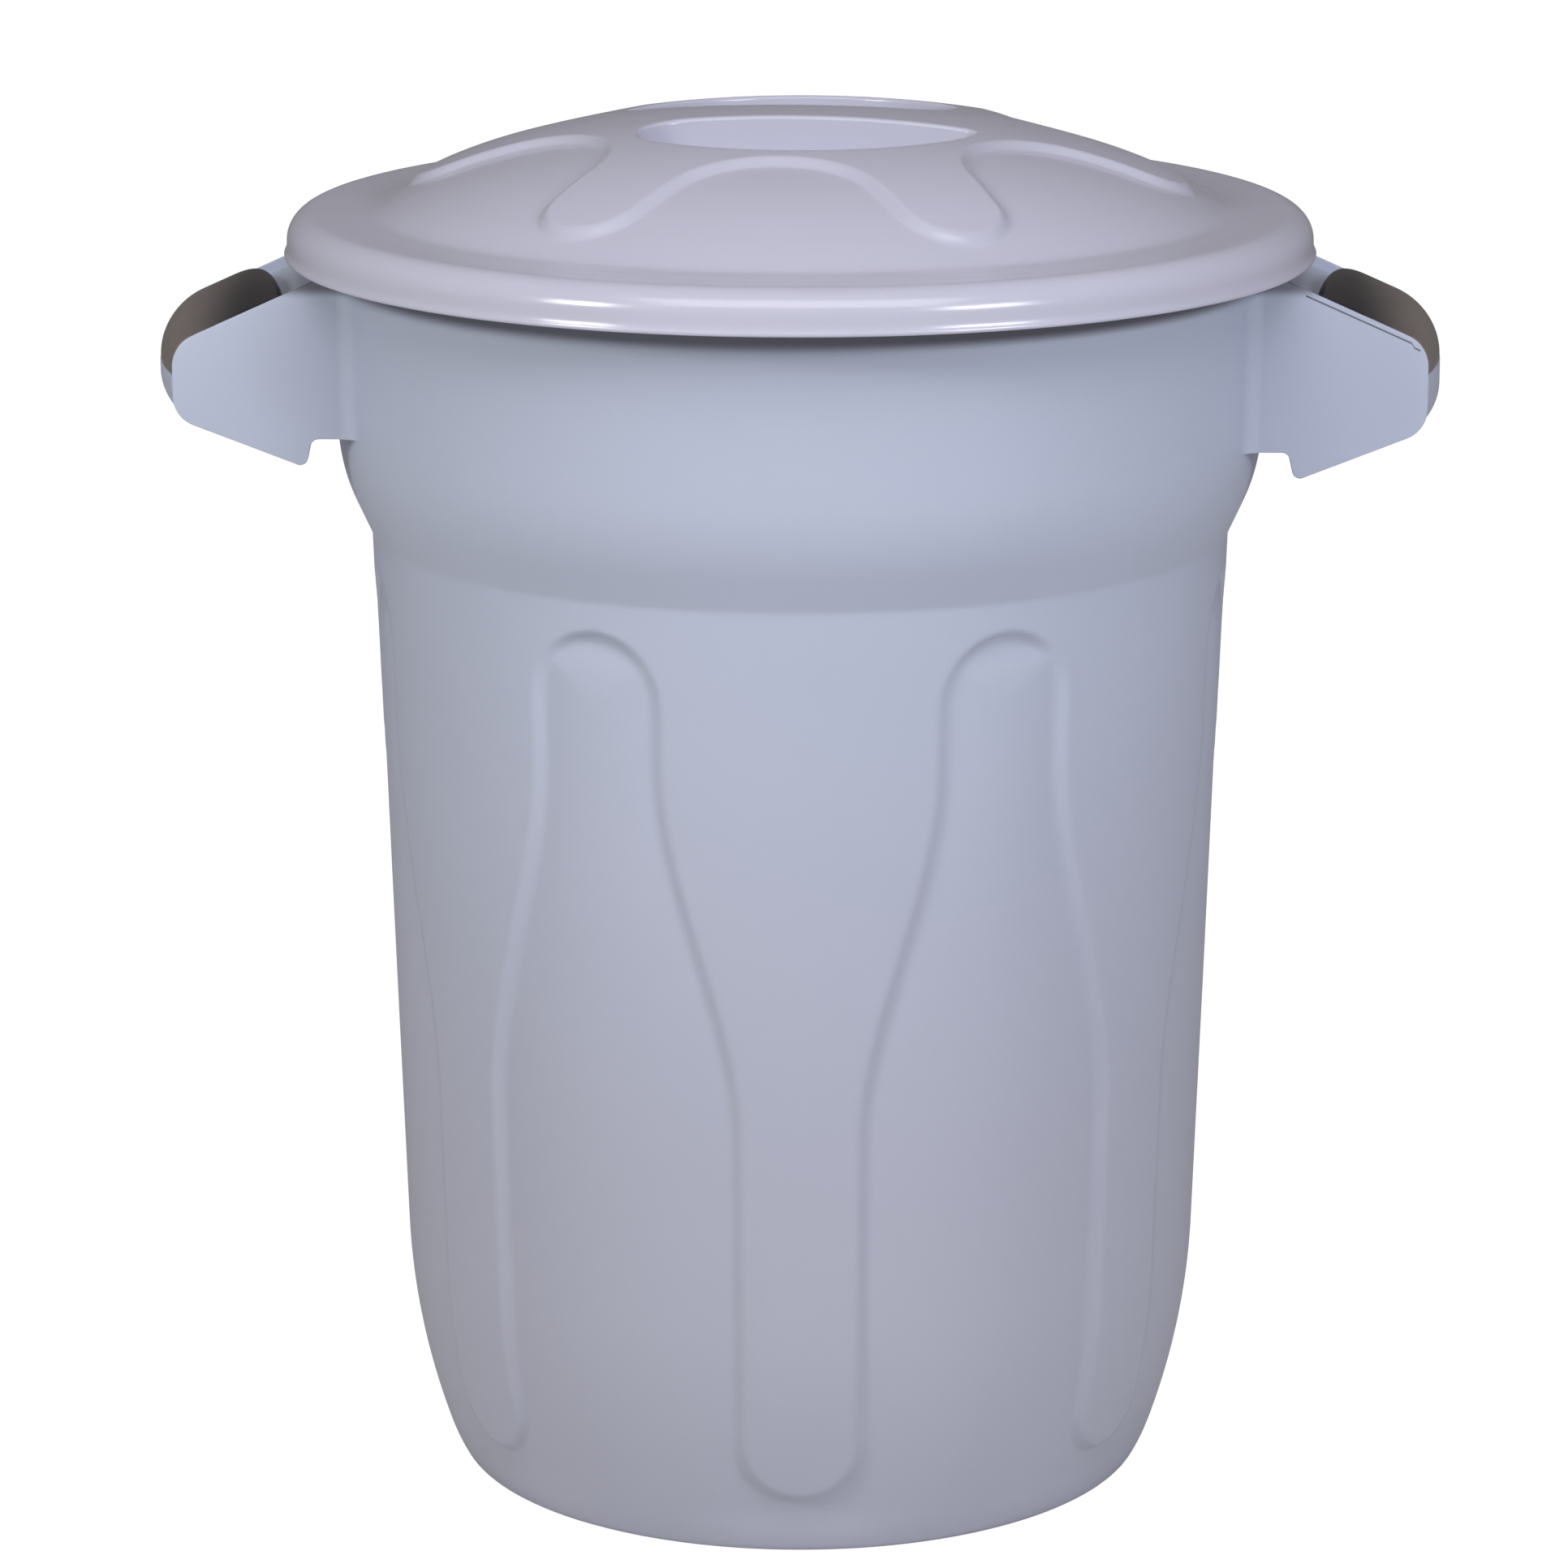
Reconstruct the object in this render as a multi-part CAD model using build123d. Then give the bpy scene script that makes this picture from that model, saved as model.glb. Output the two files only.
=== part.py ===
from build123d import *
import os
from math import acos, asin, atan2, cos, pi, radians, sin, sqrt, tan

# A round plastic trash can: a tub with two moulded side handles, a soft grip on each handle, and a lid
# that lifts straight off. Millimetres. The origin is the centre of the base on the floor, +Z is up, the
# handles are along X, and -Y is the front. Azimuths are measured from the front, positive towards +X.

# Overall sizes: other heights hang from the rim's top and other radii step from the collar
RIM_TOP_Z = 669.5
COLLAR_TOP_R = 242.2

# Tub wall
WALL = 3.0
BASE_RISE = 5.0            # the base's underside above the floor, inside the standing ring
BASE_THICK = 3.5
STANDING_RING_R = COLLAR_TOP_R - 74.2    # inner edge of the standing ring

# Foot: the straight taper bows in through a large and a small arc to the rounded standing edge
FOOT_TOP_Z = 130.0
FOOT_TOP_R = COLLAR_TOP_R - 30.8
FOOT_BEND_Z = 25.4
FOOT_LARGE_ARC = 373.0
FOOT_SMALL_ARC = 99.0
FOOT_EDGE_ARC = 9.9

# Shoulder and collar
CREASE_Z = RIM_TOP_Z - 164.0
CREASE_R = COLLAR_TOP_R - 18.3
CONE_TOP_Z = CREASE_Z + 18.5
CONE_TOP_R = CREASE_R + 8.4
SHOULDER_ARC = 95.0
COLLAR_TILT = 0.02         # radians from upright where the shoulder runs into the collar
COLLAR_TOP_Z = RIM_TOP_Z - 19.5

# Recessed panels between raised pilasters
PANEL_DEPTH = 3.0
PANEL_AZIMUTHS = (-130.25, -80.5, -27.5, 27.5, 80.5, 130.25, 180.0)
PANEL_HALF_BODY = 18.9     # degrees, half the panel's width in its wide lower part
PANEL_HALF_NECK = 8.65     # degrees, half the width of its neck
PANEL_BODY_Z = 225.0       # the sides are straight below this height
PANEL_NECK_Z = 400.0       # and above this one
PANEL_TOP_Z = CREASE_Z - 14.5
PILASTER_TIP_Z = 36.0
BODY_R = FOOT_TOP_R - 2.4  # radii at which the panel widths are measured
NECK_R = CREASE_R - 2.9
PANEL_OVERRUN = 12.0       # the cutting prisms reach this far past what they cut

# Rolled rim
RIM_R = COLLAR_TOP_R + 18.1
RIM_ARC = 8.8
RIM_LIP_Z = RIM_TOP_Z - 15.5

# Lid
LID_GAP = 0.3              # between the rim's top and the underside of the lid
LID_SHELL = 2.5
LID_RISE = 50.3            # the star's centre above the flat ring's top
LID_RING_INNER_R = COLLAR_TOP_R - 23.2
LID_EDGE_ARC = 14.0
LID_SIDE_GAP = 2.7         # between the rim and the inside of the skirt
LID_R = RIM_R + LID_SIDE_GAP + LID_SHELL
LID_FLARE = 1.5            # the skirt's lower edge stands out this much
SKIRT_Z = RIM_TOP_Z - 19.5
STAR_RELIEF = 4.0
STAR_TURN = -5.0           # degrees about Z
STAR_ARMS = 6
ARM_TIP_R = LID_RING_INNER_R - 16.0
ARM_TIP_ARC = 27.0
SCALLOP_APEX_R = 114.5
SCALLOP_ARC = 57.0
DOME_SQUARE_FALL = 24.964  # the crown falls by these towards the flat ring, with the square
DOME_FOURTH_FALL = 20.852  # and the fourth power of the radius
CROWN_MARGIN = 5.0         # the crown's solid reaches this far past the arm tips

# Finger recesses beside the grip bar
RECESS_R = 100.0
RECESS_DEPTH = 26.0        # below the star's centre
BAR_HALF = 21.6
BAR_EDGE_ARC = 600.0
RECESS_BLUNT_ARC = 28.0
RECESS_SHARP_ARC = 8.0

# Handles: side plates, top skin and bowed end wall
HANDLE_HALF = 79.5         # from the middle to a plate's outer face
HANDLE_ROOT_X = sqrt((COLLAR_TOP_R - 2 * WALL) ** 2 - HANDLE_HALF ** 2)   # inside the tub's wall
PLATE = 3.0
HANDLE_SLOPE = 0.45        # the plates' top edges fall by this much per millimetre outwards
HANDLE_TOP_X = COLLAR_TOP_R + 19.3       # a point on that top edge
HANDLE_TOP_Z = RIM_TOP_Z - 30.0
HANDLE_END_X = COLLAR_TOP_R + 77.4
HANDLE_END_LOW_Z = RIM_TOP_Z - 77.5      # the upright end starts to curl in below this height
HANDLE_CORNER_ARC = 18.0
HANDLE_LOW_ARC = 16.0
END_CURL_ARC = 22.0        # outer radius of the end wall's curled lower edge
END_CURL_ANGLE = 50.0
HOOK_X = COLLAR_TOP_R + 13.8
HOOK_Z = RIM_TOP_Z - 118.2
HOOK_ARC = 4.0
NOTCH_X = COLLAR_TOP_R + 6.8
NOTCH_Z = RIM_TOP_Z - 104.8
RIGHT_PLATE_DROP = 7.0     # the right handle's plates reach this much lower
END_BOW = 12.5             # the end wall's middle stands out this much
SKIN_DROP = 5.5            # the top skin below the plates' edges
SKIN = 3.0
GRIP_SEAT = 4.6            # the end wall steps back this much under the grip
GRIP_SEAT_Z = RIM_TOP_Z - 71.5

# Soft grips
GRIP_GAP = 0.3
GRIP_INNER_X = COLLAR_TOP_R + 19.8
GRIP_ROUND_X = GRIP_INNER_X + 34.0       # the inner end's rounding reaches full height here
GRIP_MIDDLE_ARC = 28.0     # the outer corner's radius at the grip's middle
GRIP_LIFT = 4.0            # the crown's middle above the plates' edges, beside its outward bow
GRIP_SECTIONS = 7
PEG_R = 3.0
PEG_HOLE_GAP = 0.3
PEG_X = GRIP_INNER_X + 26.0
PEG_Y = 36.0
PEG_LENGTH = 7.0

SKY = 2 * RIM_TOP_Z        # above everything


def tangent_step(point, tilt, radius, end_tilt):
    """End point of an arc that turns the wall's tilt (from upright, leaning out) from tilt to end_tilt."""
    r, z = point
    return r - radius * (cos(tilt) - cos(end_tilt)), z - radius * (sin(end_tilt) - sin(tilt))


def arc_between(point, tilt, radius, end_tilt):
    """Edge of that arc in the r-z plane."""
    middle = tangent_step(point, tilt, radius, (tilt + end_tilt) / 2)
    return ThreePointArc(point, middle, tangent_step(point, tilt, radius, end_tilt))


def tub_profile(inset, top):
    """Face between the axis and the tub's outer profile moved inwards by inset, up to height top."""
    wall_tilt = atan2(CREASE_R - FOOT_TOP_R, CREASE_Z - FOOT_TOP_Z)
    foot_top = (FOOT_TOP_R - inset, FOOT_TOP_Z)
    bend_tilt = asin(sin(wall_tilt) + (FOOT_TOP_Z - FOOT_BEND_Z) / FOOT_LARGE_ARC)
    bend = tangent_step(foot_top, wall_tilt, FOOT_LARGE_ARC, bend_tilt)
    edge_sine = (FOOT_BEND_Z + FOOT_SMALL_ARC * sin(bend_tilt) - FOOT_EDGE_ARC) / (FOOT_SMALL_ARC - FOOT_EDGE_ARC)
    edge_tilt = asin(edge_sine)
    edge = tangent_step(bend, bend_tilt, FOOT_SMALL_ARC, edge_tilt)
    floor_point = tangent_step(edge, edge_tilt, FOOT_EDGE_ARC, pi / 2)
    cone_tilt = atan2(CONE_TOP_R - CREASE_R, CONE_TOP_Z - CREASE_Z)
    crease = (CREASE_R - inset, CREASE_Z)
    cone_top = (CONE_TOP_R - inset, CONE_TOP_Z)
    collar_low = (cone_top[0] + SHOULDER_ARC * (cos(COLLAR_TILT) - cos(cone_tilt)),
                  cone_top[1] + SHOULDER_ARC * (sin(cone_tilt) - sin(COLLAR_TILT)))
    half_tilt = (cone_tilt + COLLAR_TILT) / 2
    shoulder_middle = (cone_top[0] + SHOULDER_ARC * (cos(half_tilt) - cos(cone_tilt)),
                       cone_top[1] + SHOULDER_ARC * (sin(cone_tilt) - sin(half_tilt)))
    collar_top = (COLLAR_TOP_R - inset, COLLAR_TOP_Z)
    wall_top = (COLLAR_TOP_R - inset, top)
    edges = [
        Line((0, floor_point[1]), floor_point),
        arc_between(edge, edge_tilt, FOOT_EDGE_ARC, pi / 2),
        arc_between(bend, bend_tilt, FOOT_SMALL_ARC, edge_tilt),
        arc_between(foot_top, wall_tilt, FOOT_LARGE_ARC, bend_tilt),
        Line(foot_top, crease),
        Line(crease, cone_top),
        ThreePointArc(cone_top, shoulder_middle, collar_low),
        Line(collar_low, collar_top),
        Line(collar_top, wall_top),
        Line(wall_top, (0, top)),
        Line((0, top), (0, floor_point[1])),
    ]
    return section(edges)


def section(edges):
    """Face in the X-Z plane inside a closed row of edges given in plane coordinates."""
    return Plane.XZ * Face(Wire(edges))


def turned(face):
    """Solid of revolution about Z of a face in the X-Z plane."""
    return revolve(face, Axis.Z, 360)


def slab(low, high):
    """Wide flat block between two heights."""
    return Pos(0, 0, (low + high) / 2) * Box(SKY, SKY, high - low)


def pilaster(azimuth, half_pitch, inset):
    """Prism that keeps one pilaster, with its round foot and the half arches of the necks beside it."""
    foot_half = BODY_R * sin(radians(half_pitch - PANEL_HALF_BODY))
    neck_half = NECK_R * sin(radians(half_pitch - PANEL_HALF_NECK))
    arch = NECK_R * sin(radians(half_pitch)) - neck_half
    foot_z = PILASTER_TIP_Z + foot_half
    arch_z = PANEL_TOP_Z - arch
    body_w = foot_half - inset
    neck_w = neck_half - inset
    arch_w = neck_half + arch
    arch_top = PANEL_TOP_Z + inset
    middle = ((body_w + neck_w) / 2, (PANEL_BODY_Z + PANEL_NECK_Z) / 2)
    quarter = sqrt(0.5)
    over = PANEL_OVERRUN
    edges = [
        ThreePointArc((0, foot_z - body_w), (body_w * quarter, foot_z - body_w * quarter), (body_w, foot_z)),
        Line((body_w, foot_z), (body_w, PANEL_BODY_Z)),
        TangentArc((body_w, PANEL_BODY_Z), middle, tangent=(0, 1)),
        TangentArc((neck_w, PANEL_NECK_Z), middle, tangent=(0, -1)),
        Line((neck_w, PANEL_NECK_Z), (neck_w, arch_z)),
        ThreePointArc((neck_w, arch_z),
                      (arch_w - (arch + inset) * quarter, arch_z + (arch + inset) * quarter),
                      (arch_w, arch_top)),
        Line((arch_w, arch_top), (arch_w + over, arch_top)),
        Line((arch_w + over, arch_top), (arch_w + over, arch_top + over)),
        Line((arch_w + over, arch_top + over), (0, arch_top + over)),
        Line((0, arch_top + over), (0, foot_z - body_w)),
    ]
    half = section(edges)
    prism = extrude(half, amount=SKY / 2)
    return Rot(0, 0, azimuth) * (prism + mirror(prism, Plane.YZ))


def panel_cutter(inset):
    """Everything that the recessed panels take away from the tub's outer form."""
    top = PANEL_TOP_Z + inset + PANEL_OVERRUN / 3
    ring = Pos(0, 0, top / 2 - 1) * Cylinder(RIM_R, top + 2)
    cutter = ring - turned(tub_profile(inset + PANEL_DEPTH, RIM_TOP_Z))
    ends = list(PANEL_AZIMUTHS[1:]) + [PANEL_AZIMUTHS[0] + 360]
    for start, end in zip(PANEL_AZIMUTHS, ends):
        cutter -= pilaster((start + end) / 2, (end - start) / 2, inset)
    return cutter


def tub_form(inset, top):
    """Solid tub with its panels, moved inwards by inset."""
    return turned(tub_profile(inset, top)) - panel_cutter(inset)


def rim():
    """Rolled rim: a flat seat for the lid that turns down into a lip."""
    seat_r = RIM_R - RIM_ARC
    inner_r = COLLAR_TOP_R - WALL
    arc_z = RIM_TOP_Z - RIM_ARC
    under_arc = RIM_ARC - WALL
    quarter = sqrt(0.5)
    edges = [
        Line((inner_r, RIM_TOP_Z), (seat_r, RIM_TOP_Z)),
        ThreePointArc((seat_r, RIM_TOP_Z), (seat_r + RIM_ARC * quarter, arc_z + RIM_ARC * quarter), (RIM_R, arc_z)),
        Line((RIM_R, arc_z), (RIM_R, RIM_LIP_Z)),
        Line((RIM_R, RIM_LIP_Z), (RIM_R - WALL, RIM_LIP_Z)),
        Line((RIM_R - WALL, RIM_LIP_Z), (RIM_R - WALL, arc_z)),
        ThreePointArc((RIM_R - WALL, arc_z), (seat_r + under_arc * quarter, arc_z + under_arc * quarter),
                      (seat_r, arc_z + under_arc)),
        Line((seat_r, arc_z + under_arc), (inner_r, arc_z + under_arc)),
        Line((inner_r, arc_z + under_arc), (inner_r, RIM_TOP_Z)),
    ]
    return turned(section(edges))


def edge_z(x):
    """Height of the plates' top edge at x."""
    return HANDLE_TOP_Z - HANDLE_SLOPE * (x - HANDLE_TOP_X)


def plate_face(drop):
    """Outline of a handle's side plate, with its hook and the notch beside the tub."""
    corner = (HANDLE_END_X, edge_z(HANDLE_END_X))
    low_corner = (HANDLE_END_X, HANDLE_END_LOW_Z - drop - HANDLE_LOW_ARC)
    outline = [
        (HANDLE_ROOT_X, NOTCH_Z - drop),
        (NOTCH_X, NOTCH_Z - drop),
        (HOOK_X - HOOK_ARC, HOOK_Z - drop),
        (HOOK_X, HOOK_Z - drop),
        low_corner,
        corner,
        (HANDLE_ROOT_X, edge_z(HANDLE_ROOT_X)),
    ]
    face = Face(Wire.make_polygon([(x, z, 0) for x, z in outline], close=True))
    radii = {1: HOOK_ARC, 2: HOOK_ARC, 3: HOOK_ARC / 2, 4: HANDLE_LOW_ARC, 5: HANDLE_CORNER_ARC}
    for index, radius in radii.items():
        x, z = outline[index]
        vertex = face.vertices().sort_by_distance(Vector(x, z, 0))[0]
        face = fillet(vertex, radius)
    return Plane.XZ * face


def bow_radius():
    """Radius of the end wall's outer face in plan, so that it stands out by END_BOW at the middle."""
    return (HANDLE_HALF ** 2 + END_BOW ** 2) / (2 * END_BOW)


def bow_centre():
    return HANDLE_END_X + END_BOW - bow_radius()


def end_wall(drop):
    """Bowed end wall, stepped back under the grip, with its lower edge curled in."""
    outer = bow_radius()
    low = HANDLE_END_LOW_Z - drop
    curl = END_CURL_ARC
    curl_end = radians(END_CURL_ANGLE)
    step_z = GRIP_SEAT_Z
    seat = outer - GRIP_SEAT
    curl_outer = (outer - curl * (1 - cos(curl_end)), low - curl * sin(curl_end))
    curl_inner = (outer - curl + (curl - WALL) * cos(curl_end), low - (curl - WALL) * sin(curl_end))
    half = curl_end / 2
    edges = [
        Line((seat, SKY), (seat, step_z)),
        Line((seat, step_z), (outer, step_z)),
        Line((outer, step_z), (outer, low)),
        ThreePointArc((outer, low), (outer - curl * (1 - cos(half)), low - curl * sin(half)), curl_outer),
        Line(curl_outer, curl_inner),
        ThreePointArc(curl_inner, (outer - curl + (curl - WALL) * cos(half), low - (curl - WALL) * sin(half)),
                      (outer - WALL, low)),
        Line((outer - WALL, low), (outer - WALL, step_z - WALL)),
        Line((outer - WALL, step_z - WALL), (seat - SKIN, step_z - WALL)),
        Line((seat - SKIN, step_z - WALL), (seat - SKIN, SKY)),
        Line((seat - SKIN, SKY), (seat, SKY)),
    ]
    return Pos(bow_centre(), 0, 0) * turned(section(edges))


def under_edge(drop_below):
    """Everything below a plane parallel to the plates' top edges, drop_below under them."""
    outer_x = HANDLE_END_X + 2 * END_BOW
    outline = [(HANDLE_ROOT_X, 0), (outer_x, 0), (outer_x, edge_z(outer_x) - drop_below),
               (HANDLE_ROOT_X, edge_z(HANDLE_ROOT_X) - drop_below)]
    face = Plane.XZ * Face(Wire.make_polygon([(x, z, 0) for x, z in outline], close=True))
    return extrude(face, amount=HANDLE_HALF - PLATE / 2, both=True)


def seat_cylinder(inset):
    """Plan of the handle inside the end wall's stepped-back face, moved inwards by inset."""
    return Pos(bow_centre(), 0, SKY / 2) * Cylinder(bow_radius() - GRIP_SEAT - inset, SKY)


def peg(radius, low_z):
    """A pair of peg cylinders of one handle, from low_z up into the grip."""
    top = edge_z(PEG_X) - SKIN_DROP / 2
    one = Pos(PEG_X, PEG_Y, (low_z + top) / 2) * Cylinder(radius, top - low_z)
    return one + mirror(one, Plane.XZ)


def handle(drop):
    """Right-hand handle, running into the tub's wall."""
    face = plate_face(drop)
    near = Pos(0, -HANDLE_HALF + PLATE, 0) * extrude(face, amount=PLATE)
    plates = near + mirror(near, Plane.XZ)
    skin = (under_edge(SKIN_DROP) - under_edge(SKIN_DROP + SKIN)) & seat_cylinder(0)
    wall = end_wall(drop) & under_edge(SKIN_DROP)
    box = plates + skin + wall
    return box - peg(PEG_R + PEG_HOLE_GAP, 0)


def tub():
    inner_top = RIM_TOP_Z + 1
    body = tub_form(0, RIM_TOP_Z) + rim()
    body += handle(RIGHT_PLATE_DROP)
    body += mirror(handle(0), Plane.YZ)
    cavity = tub_form(WALL, inner_top) & slab(BASE_RISE + BASE_THICK, inner_top)
    foot = Pos(0, 0, BASE_RISE / 2) * Cylinder(STANDING_RING_R, BASE_RISE)
    return body - cavity - foot


def grip_section(y):
    """Closed outline of the grip's outer form at one distance from the handle's middle."""
    reach = HANDLE_HALF - PLATE - GRIP_GAP
    crown = 1 - (y / reach) ** 2
    bow = END_BOW * crown
    lift = GRIP_LIFT * crown + HANDLE_SLOPE * bow
    corner_arc = HANDLE_CORNER_ARC + (GRIP_MIDDLE_ARC - HANDLE_CORNER_ARC) * crown
    low = GRIP_SEAT_Z + GRIP_GAP
    end_x = HANDLE_END_X + bow
    inner_z = edge_z(GRIP_INNER_X) - SKIN_DROP
    slope_angle = atan2(HANDLE_SLOPE, 1)
    corner = (end_x, edge_z(end_x) + lift)
    reach_back = corner_arc * tan((pi / 2 - slope_angle) / 2)
    line_end = (corner[0] - reach_back * cos(slope_angle), corner[1] + reach_back * sin(slope_angle))
    wall_start = (end_x, corner[1] - reach_back)
    if wall_start[1] < low + 1:
        wall_start = (end_x, low + 1)
    centre = (end_x - corner_arc, corner[1] - reach_back)
    middle_angle = (pi / 2 - slope_angle) / 2
    corner_middle = (centre[0] + corner_arc * cos(middle_angle), centre[1] + corner_arc * sin(middle_angle))
    round_end = (GRIP_ROUND_X, edge_z(GRIP_ROUND_X) + lift)
    rise = TangentArc(round_end, (GRIP_INNER_X, inner_z), tangent=(-1, HANDLE_SLOPE))
    edges = [
        Line((GRIP_INNER_X, low), (GRIP_INNER_X, inner_z)),
        rise,
        Line(round_end, line_end),
        ThreePointArc(line_end, corner_middle, wall_start),
        Line(wall_start, (end_x, low)),
        Line((end_x, low), (GRIP_INNER_X, low)),
    ]
    return Pos(0, y, 0) * section(edges)


def grip():
    """Right-hand soft grip: a crowned pad that follows the handle's top and end, with two pegs."""
    reach = HANDLE_HALF - PLATE - GRIP_GAP
    rows = [reach * (2 * index / (GRIP_SECTIONS - 1) - 1) for index in range(GRIP_SECTIONS)]
    pad = loft([grip_section(y) for y in rows])
    core = under_edge(SKIN_DROP - GRIP_GAP) & seat_cylinder(-GRIP_GAP)
    pad -= core
    peg_low = edge_z(PEG_X) - SKIN_DROP - PEG_LENGTH
    return pad + peg(PEG_R, peg_low)


def crown_z(r):
    """Height of the star's top face at a distance from the axis."""
    top = RIM_TOP_Z + LID_GAP + LID_SHELL + LID_RISE
    share = r / LID_RING_INNER_R
    return top - DOME_SQUARE_FALL * share ** 2 - DOME_FOURTH_FALL * share ** 4


def crown_curve(outer_r, drop):
    """Curve of the crown, drop below the star's top face, from the axis out to outer_r."""
    steps = 4
    points = [(outer_r * index / steps, crown_z(outer_r * index / steps) - drop) for index in range(steps + 1)]
    share = outer_r / LID_RING_INNER_R
    end_slope = -(2 * DOME_SQUARE_FALL * share + 4 * DOME_FOURTH_FALL * share ** 3) / LID_RING_INNER_R
    return Spline(*points, tangents=[(1, 0), (1, end_slope)])


def lid_profile(inset):
    """Face under the low dome, flat ring, rounded edge and skirt, moved in by inset."""
    low = SKIRT_Z - inset
    ring_z = RIM_TOP_Z + LID_GAP + LID_SHELL - inset
    arc = LID_EDGE_ARC - inset
    arc_r = LID_R - LID_EDGE_ARC
    arc_z = RIM_TOP_Z + LID_GAP + LID_SHELL - LID_EDGE_ARC
    quarter = sqrt(0.5)
    dome_end = (LID_RING_INNER_R, crown_z(LID_RING_INNER_R) - STAR_RELIEF - inset)
    edges = [
        Line((0, low), (LID_R + LID_FLARE - inset, low)),
        Line((LID_R + LID_FLARE - inset, low), (LID_R - inset, arc_z)),
        ThreePointArc((LID_R - inset, arc_z), (arc_r + arc * quarter, arc_z + arc * quarter), (arc_r, ring_z)),
        Line((arc_r, ring_z), (LID_RING_INNER_R, ring_z)),
        crown_curve(LID_RING_INNER_R, STAR_RELIEF + inset),
        Line((0, crown_z(0) - STAR_RELIEF - inset), (0, low)),
    ]
    if abs(dome_end[1] - ring_z) > 0.001:
        edges.insert(4, Line((LID_RING_INNER_R, ring_z), dome_end))
    return section(edges)


def star_outline(inset):
    """Six round-ended arms joined by round scallops; inset makes the arms smaller."""
    tip_arc = ARM_TIP_ARC - inset
    scallop_arc = SCALLOP_ARC + inset
    tip_centre = Vector(ARM_TIP_R - ARM_TIP_ARC, 0)
    scallop_r = SCALLOP_APEX_R + SCALLOP_ARC
    step = 360 / STAR_ARMS
    scallop_centre = Vector(scallop_r, 0).rotate(Axis.Z, step / 2)
    across = scallop_centre - tip_centre
    normal_angle = atan2(across.Y, across.X) - acos((tip_arc + scallop_arc) / across.length)
    normal = Vector(cos(normal_angle), sin(normal_angle))
    arm_point = tip_centre + normal * tip_arc
    scallop_point = scallop_centre - normal * scallop_arc
    apex = Vector(scallop_r - scallop_arc, 0).rotate(Axis.Z, step / 2)
    mirrored_arm = Vector(arm_point.X, -arm_point.Y)
    next_scallop = Vector(scallop_point.X, -scallop_point.Y).rotate(Axis.Z, step)
    next_arm = mirrored_arm.rotate(Axis.Z, step)
    edges = []
    for arm in range(STAR_ARMS):
        turn = arm * step
        spots = [spot.rotate(Axis.Z, turn) for spot in
                 (mirrored_arm, Vector(tip_centre.X + tip_arc, 0), arm_point, scallop_point, apex,
                  next_scallop, next_arm)]
        edges.append(ThreePointArc(spots[0], spots[1], spots[2]))
        edges.append(Line(spots[2], spots[3]))
        edges.append(ThreePointArc(spots[3], spots[4], spots[5]))
        edges.append(Line(spots[5], spots[6]))
    return Face(Wire(edges))


def recess_end(arc, inset, side):
    """Centre and tangent points of the rounding between the recess's outer arc and the bar's edge."""
    outer = RECESS_R + inset
    bar_arc = BAR_EDGE_ARC + inset
    bar_centre = Vector(0, -(BAR_HALF + BAR_EDGE_ARC))
    radius = arc + inset
    y = ((bar_arc - radius) ** 2 - (outer - radius) ** 2 - bar_centre.Y ** 2) / (-2 * bar_centre.Y)
    centre = Vector(side * sqrt((outer - radius) ** 2 - y ** 2), y)
    to_outer = centre.normalized()
    to_bar = (centre - bar_centre).normalized()
    middle = (to_outer + to_bar).normalized()
    return centre + to_outer * radius, centre + middle * radius, centre + to_bar * radius


def recesses(inset):
    """The two finger recesses, grown by inset; the back one is the front one turned half round."""
    left = recess_end(RECESS_BLUNT_ARC, inset, -1)
    right = recess_end(RECESS_SHARP_ARC, inset, 1)
    edges = [
        ThreePointArc(left[0], (0, -(RECESS_R + inset)), right[0]),
        ThreePointArc(right[0], right[1], right[2]),
        ThreePointArc(right[2], (0, -(BAR_HALF - inset)), left[2]),
        ThreePointArc(left[2], left[1], left[0]),
    ]
    floor_z = crown_z(0) - RECESS_DEPTH - inset
    front = Pos(0, 0, floor_z) * extrude(Face(Wire(edges)), amount=SKY - floor_z)
    return Rot(0, 0, STAR_TURN) * (front + Rot(0, 0, 180) * front)


def lid_form(inset):
    """Solid lid with its star and recesses; inset gives the inside of the shell."""
    star_r = ARM_TIP_R + CROWN_MARGIN
    ring_z = RIM_TOP_Z + LID_GAP
    crown = section([
        Line((0, ring_z - WALL), (star_r, ring_z - WALL)),
        Line((star_r, ring_z - WALL), (star_r, crown_z(star_r) - inset)),
        crown_curve(star_r, inset),
        Line((0, crown_z(0) - inset), (0, ring_z - WALL)),
    ])
    arms = Rot(0, 0, STAR_TURN) * Pos(0, 0, SKIRT_Z) * extrude(star_outline(inset), amount=SKY - SKIRT_Z)
    return turned(lid_profile(inset)) + (turned(crown) & arms) - recesses(inset)


def lid():
    return lid_form(0) - lid_form(LID_SHELL)


def main():
    os.makedirs("parts", exist_ok=True)
    right_grip = grip()
    pieces = {
        "tub": tub(),
        "lid": lid(),
        "grip_right": right_grip,
        "grip_left": mirror(right_grip, Plane.YZ),
    }
    for name, piece in pieces.items():
        export_step(piece, f"parts/{name}.step")


main()
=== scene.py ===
import math

import bmesh
import bpy
import numpy as np
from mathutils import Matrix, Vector
from mathutils.geometry import delaunay_2d_cdt


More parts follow.
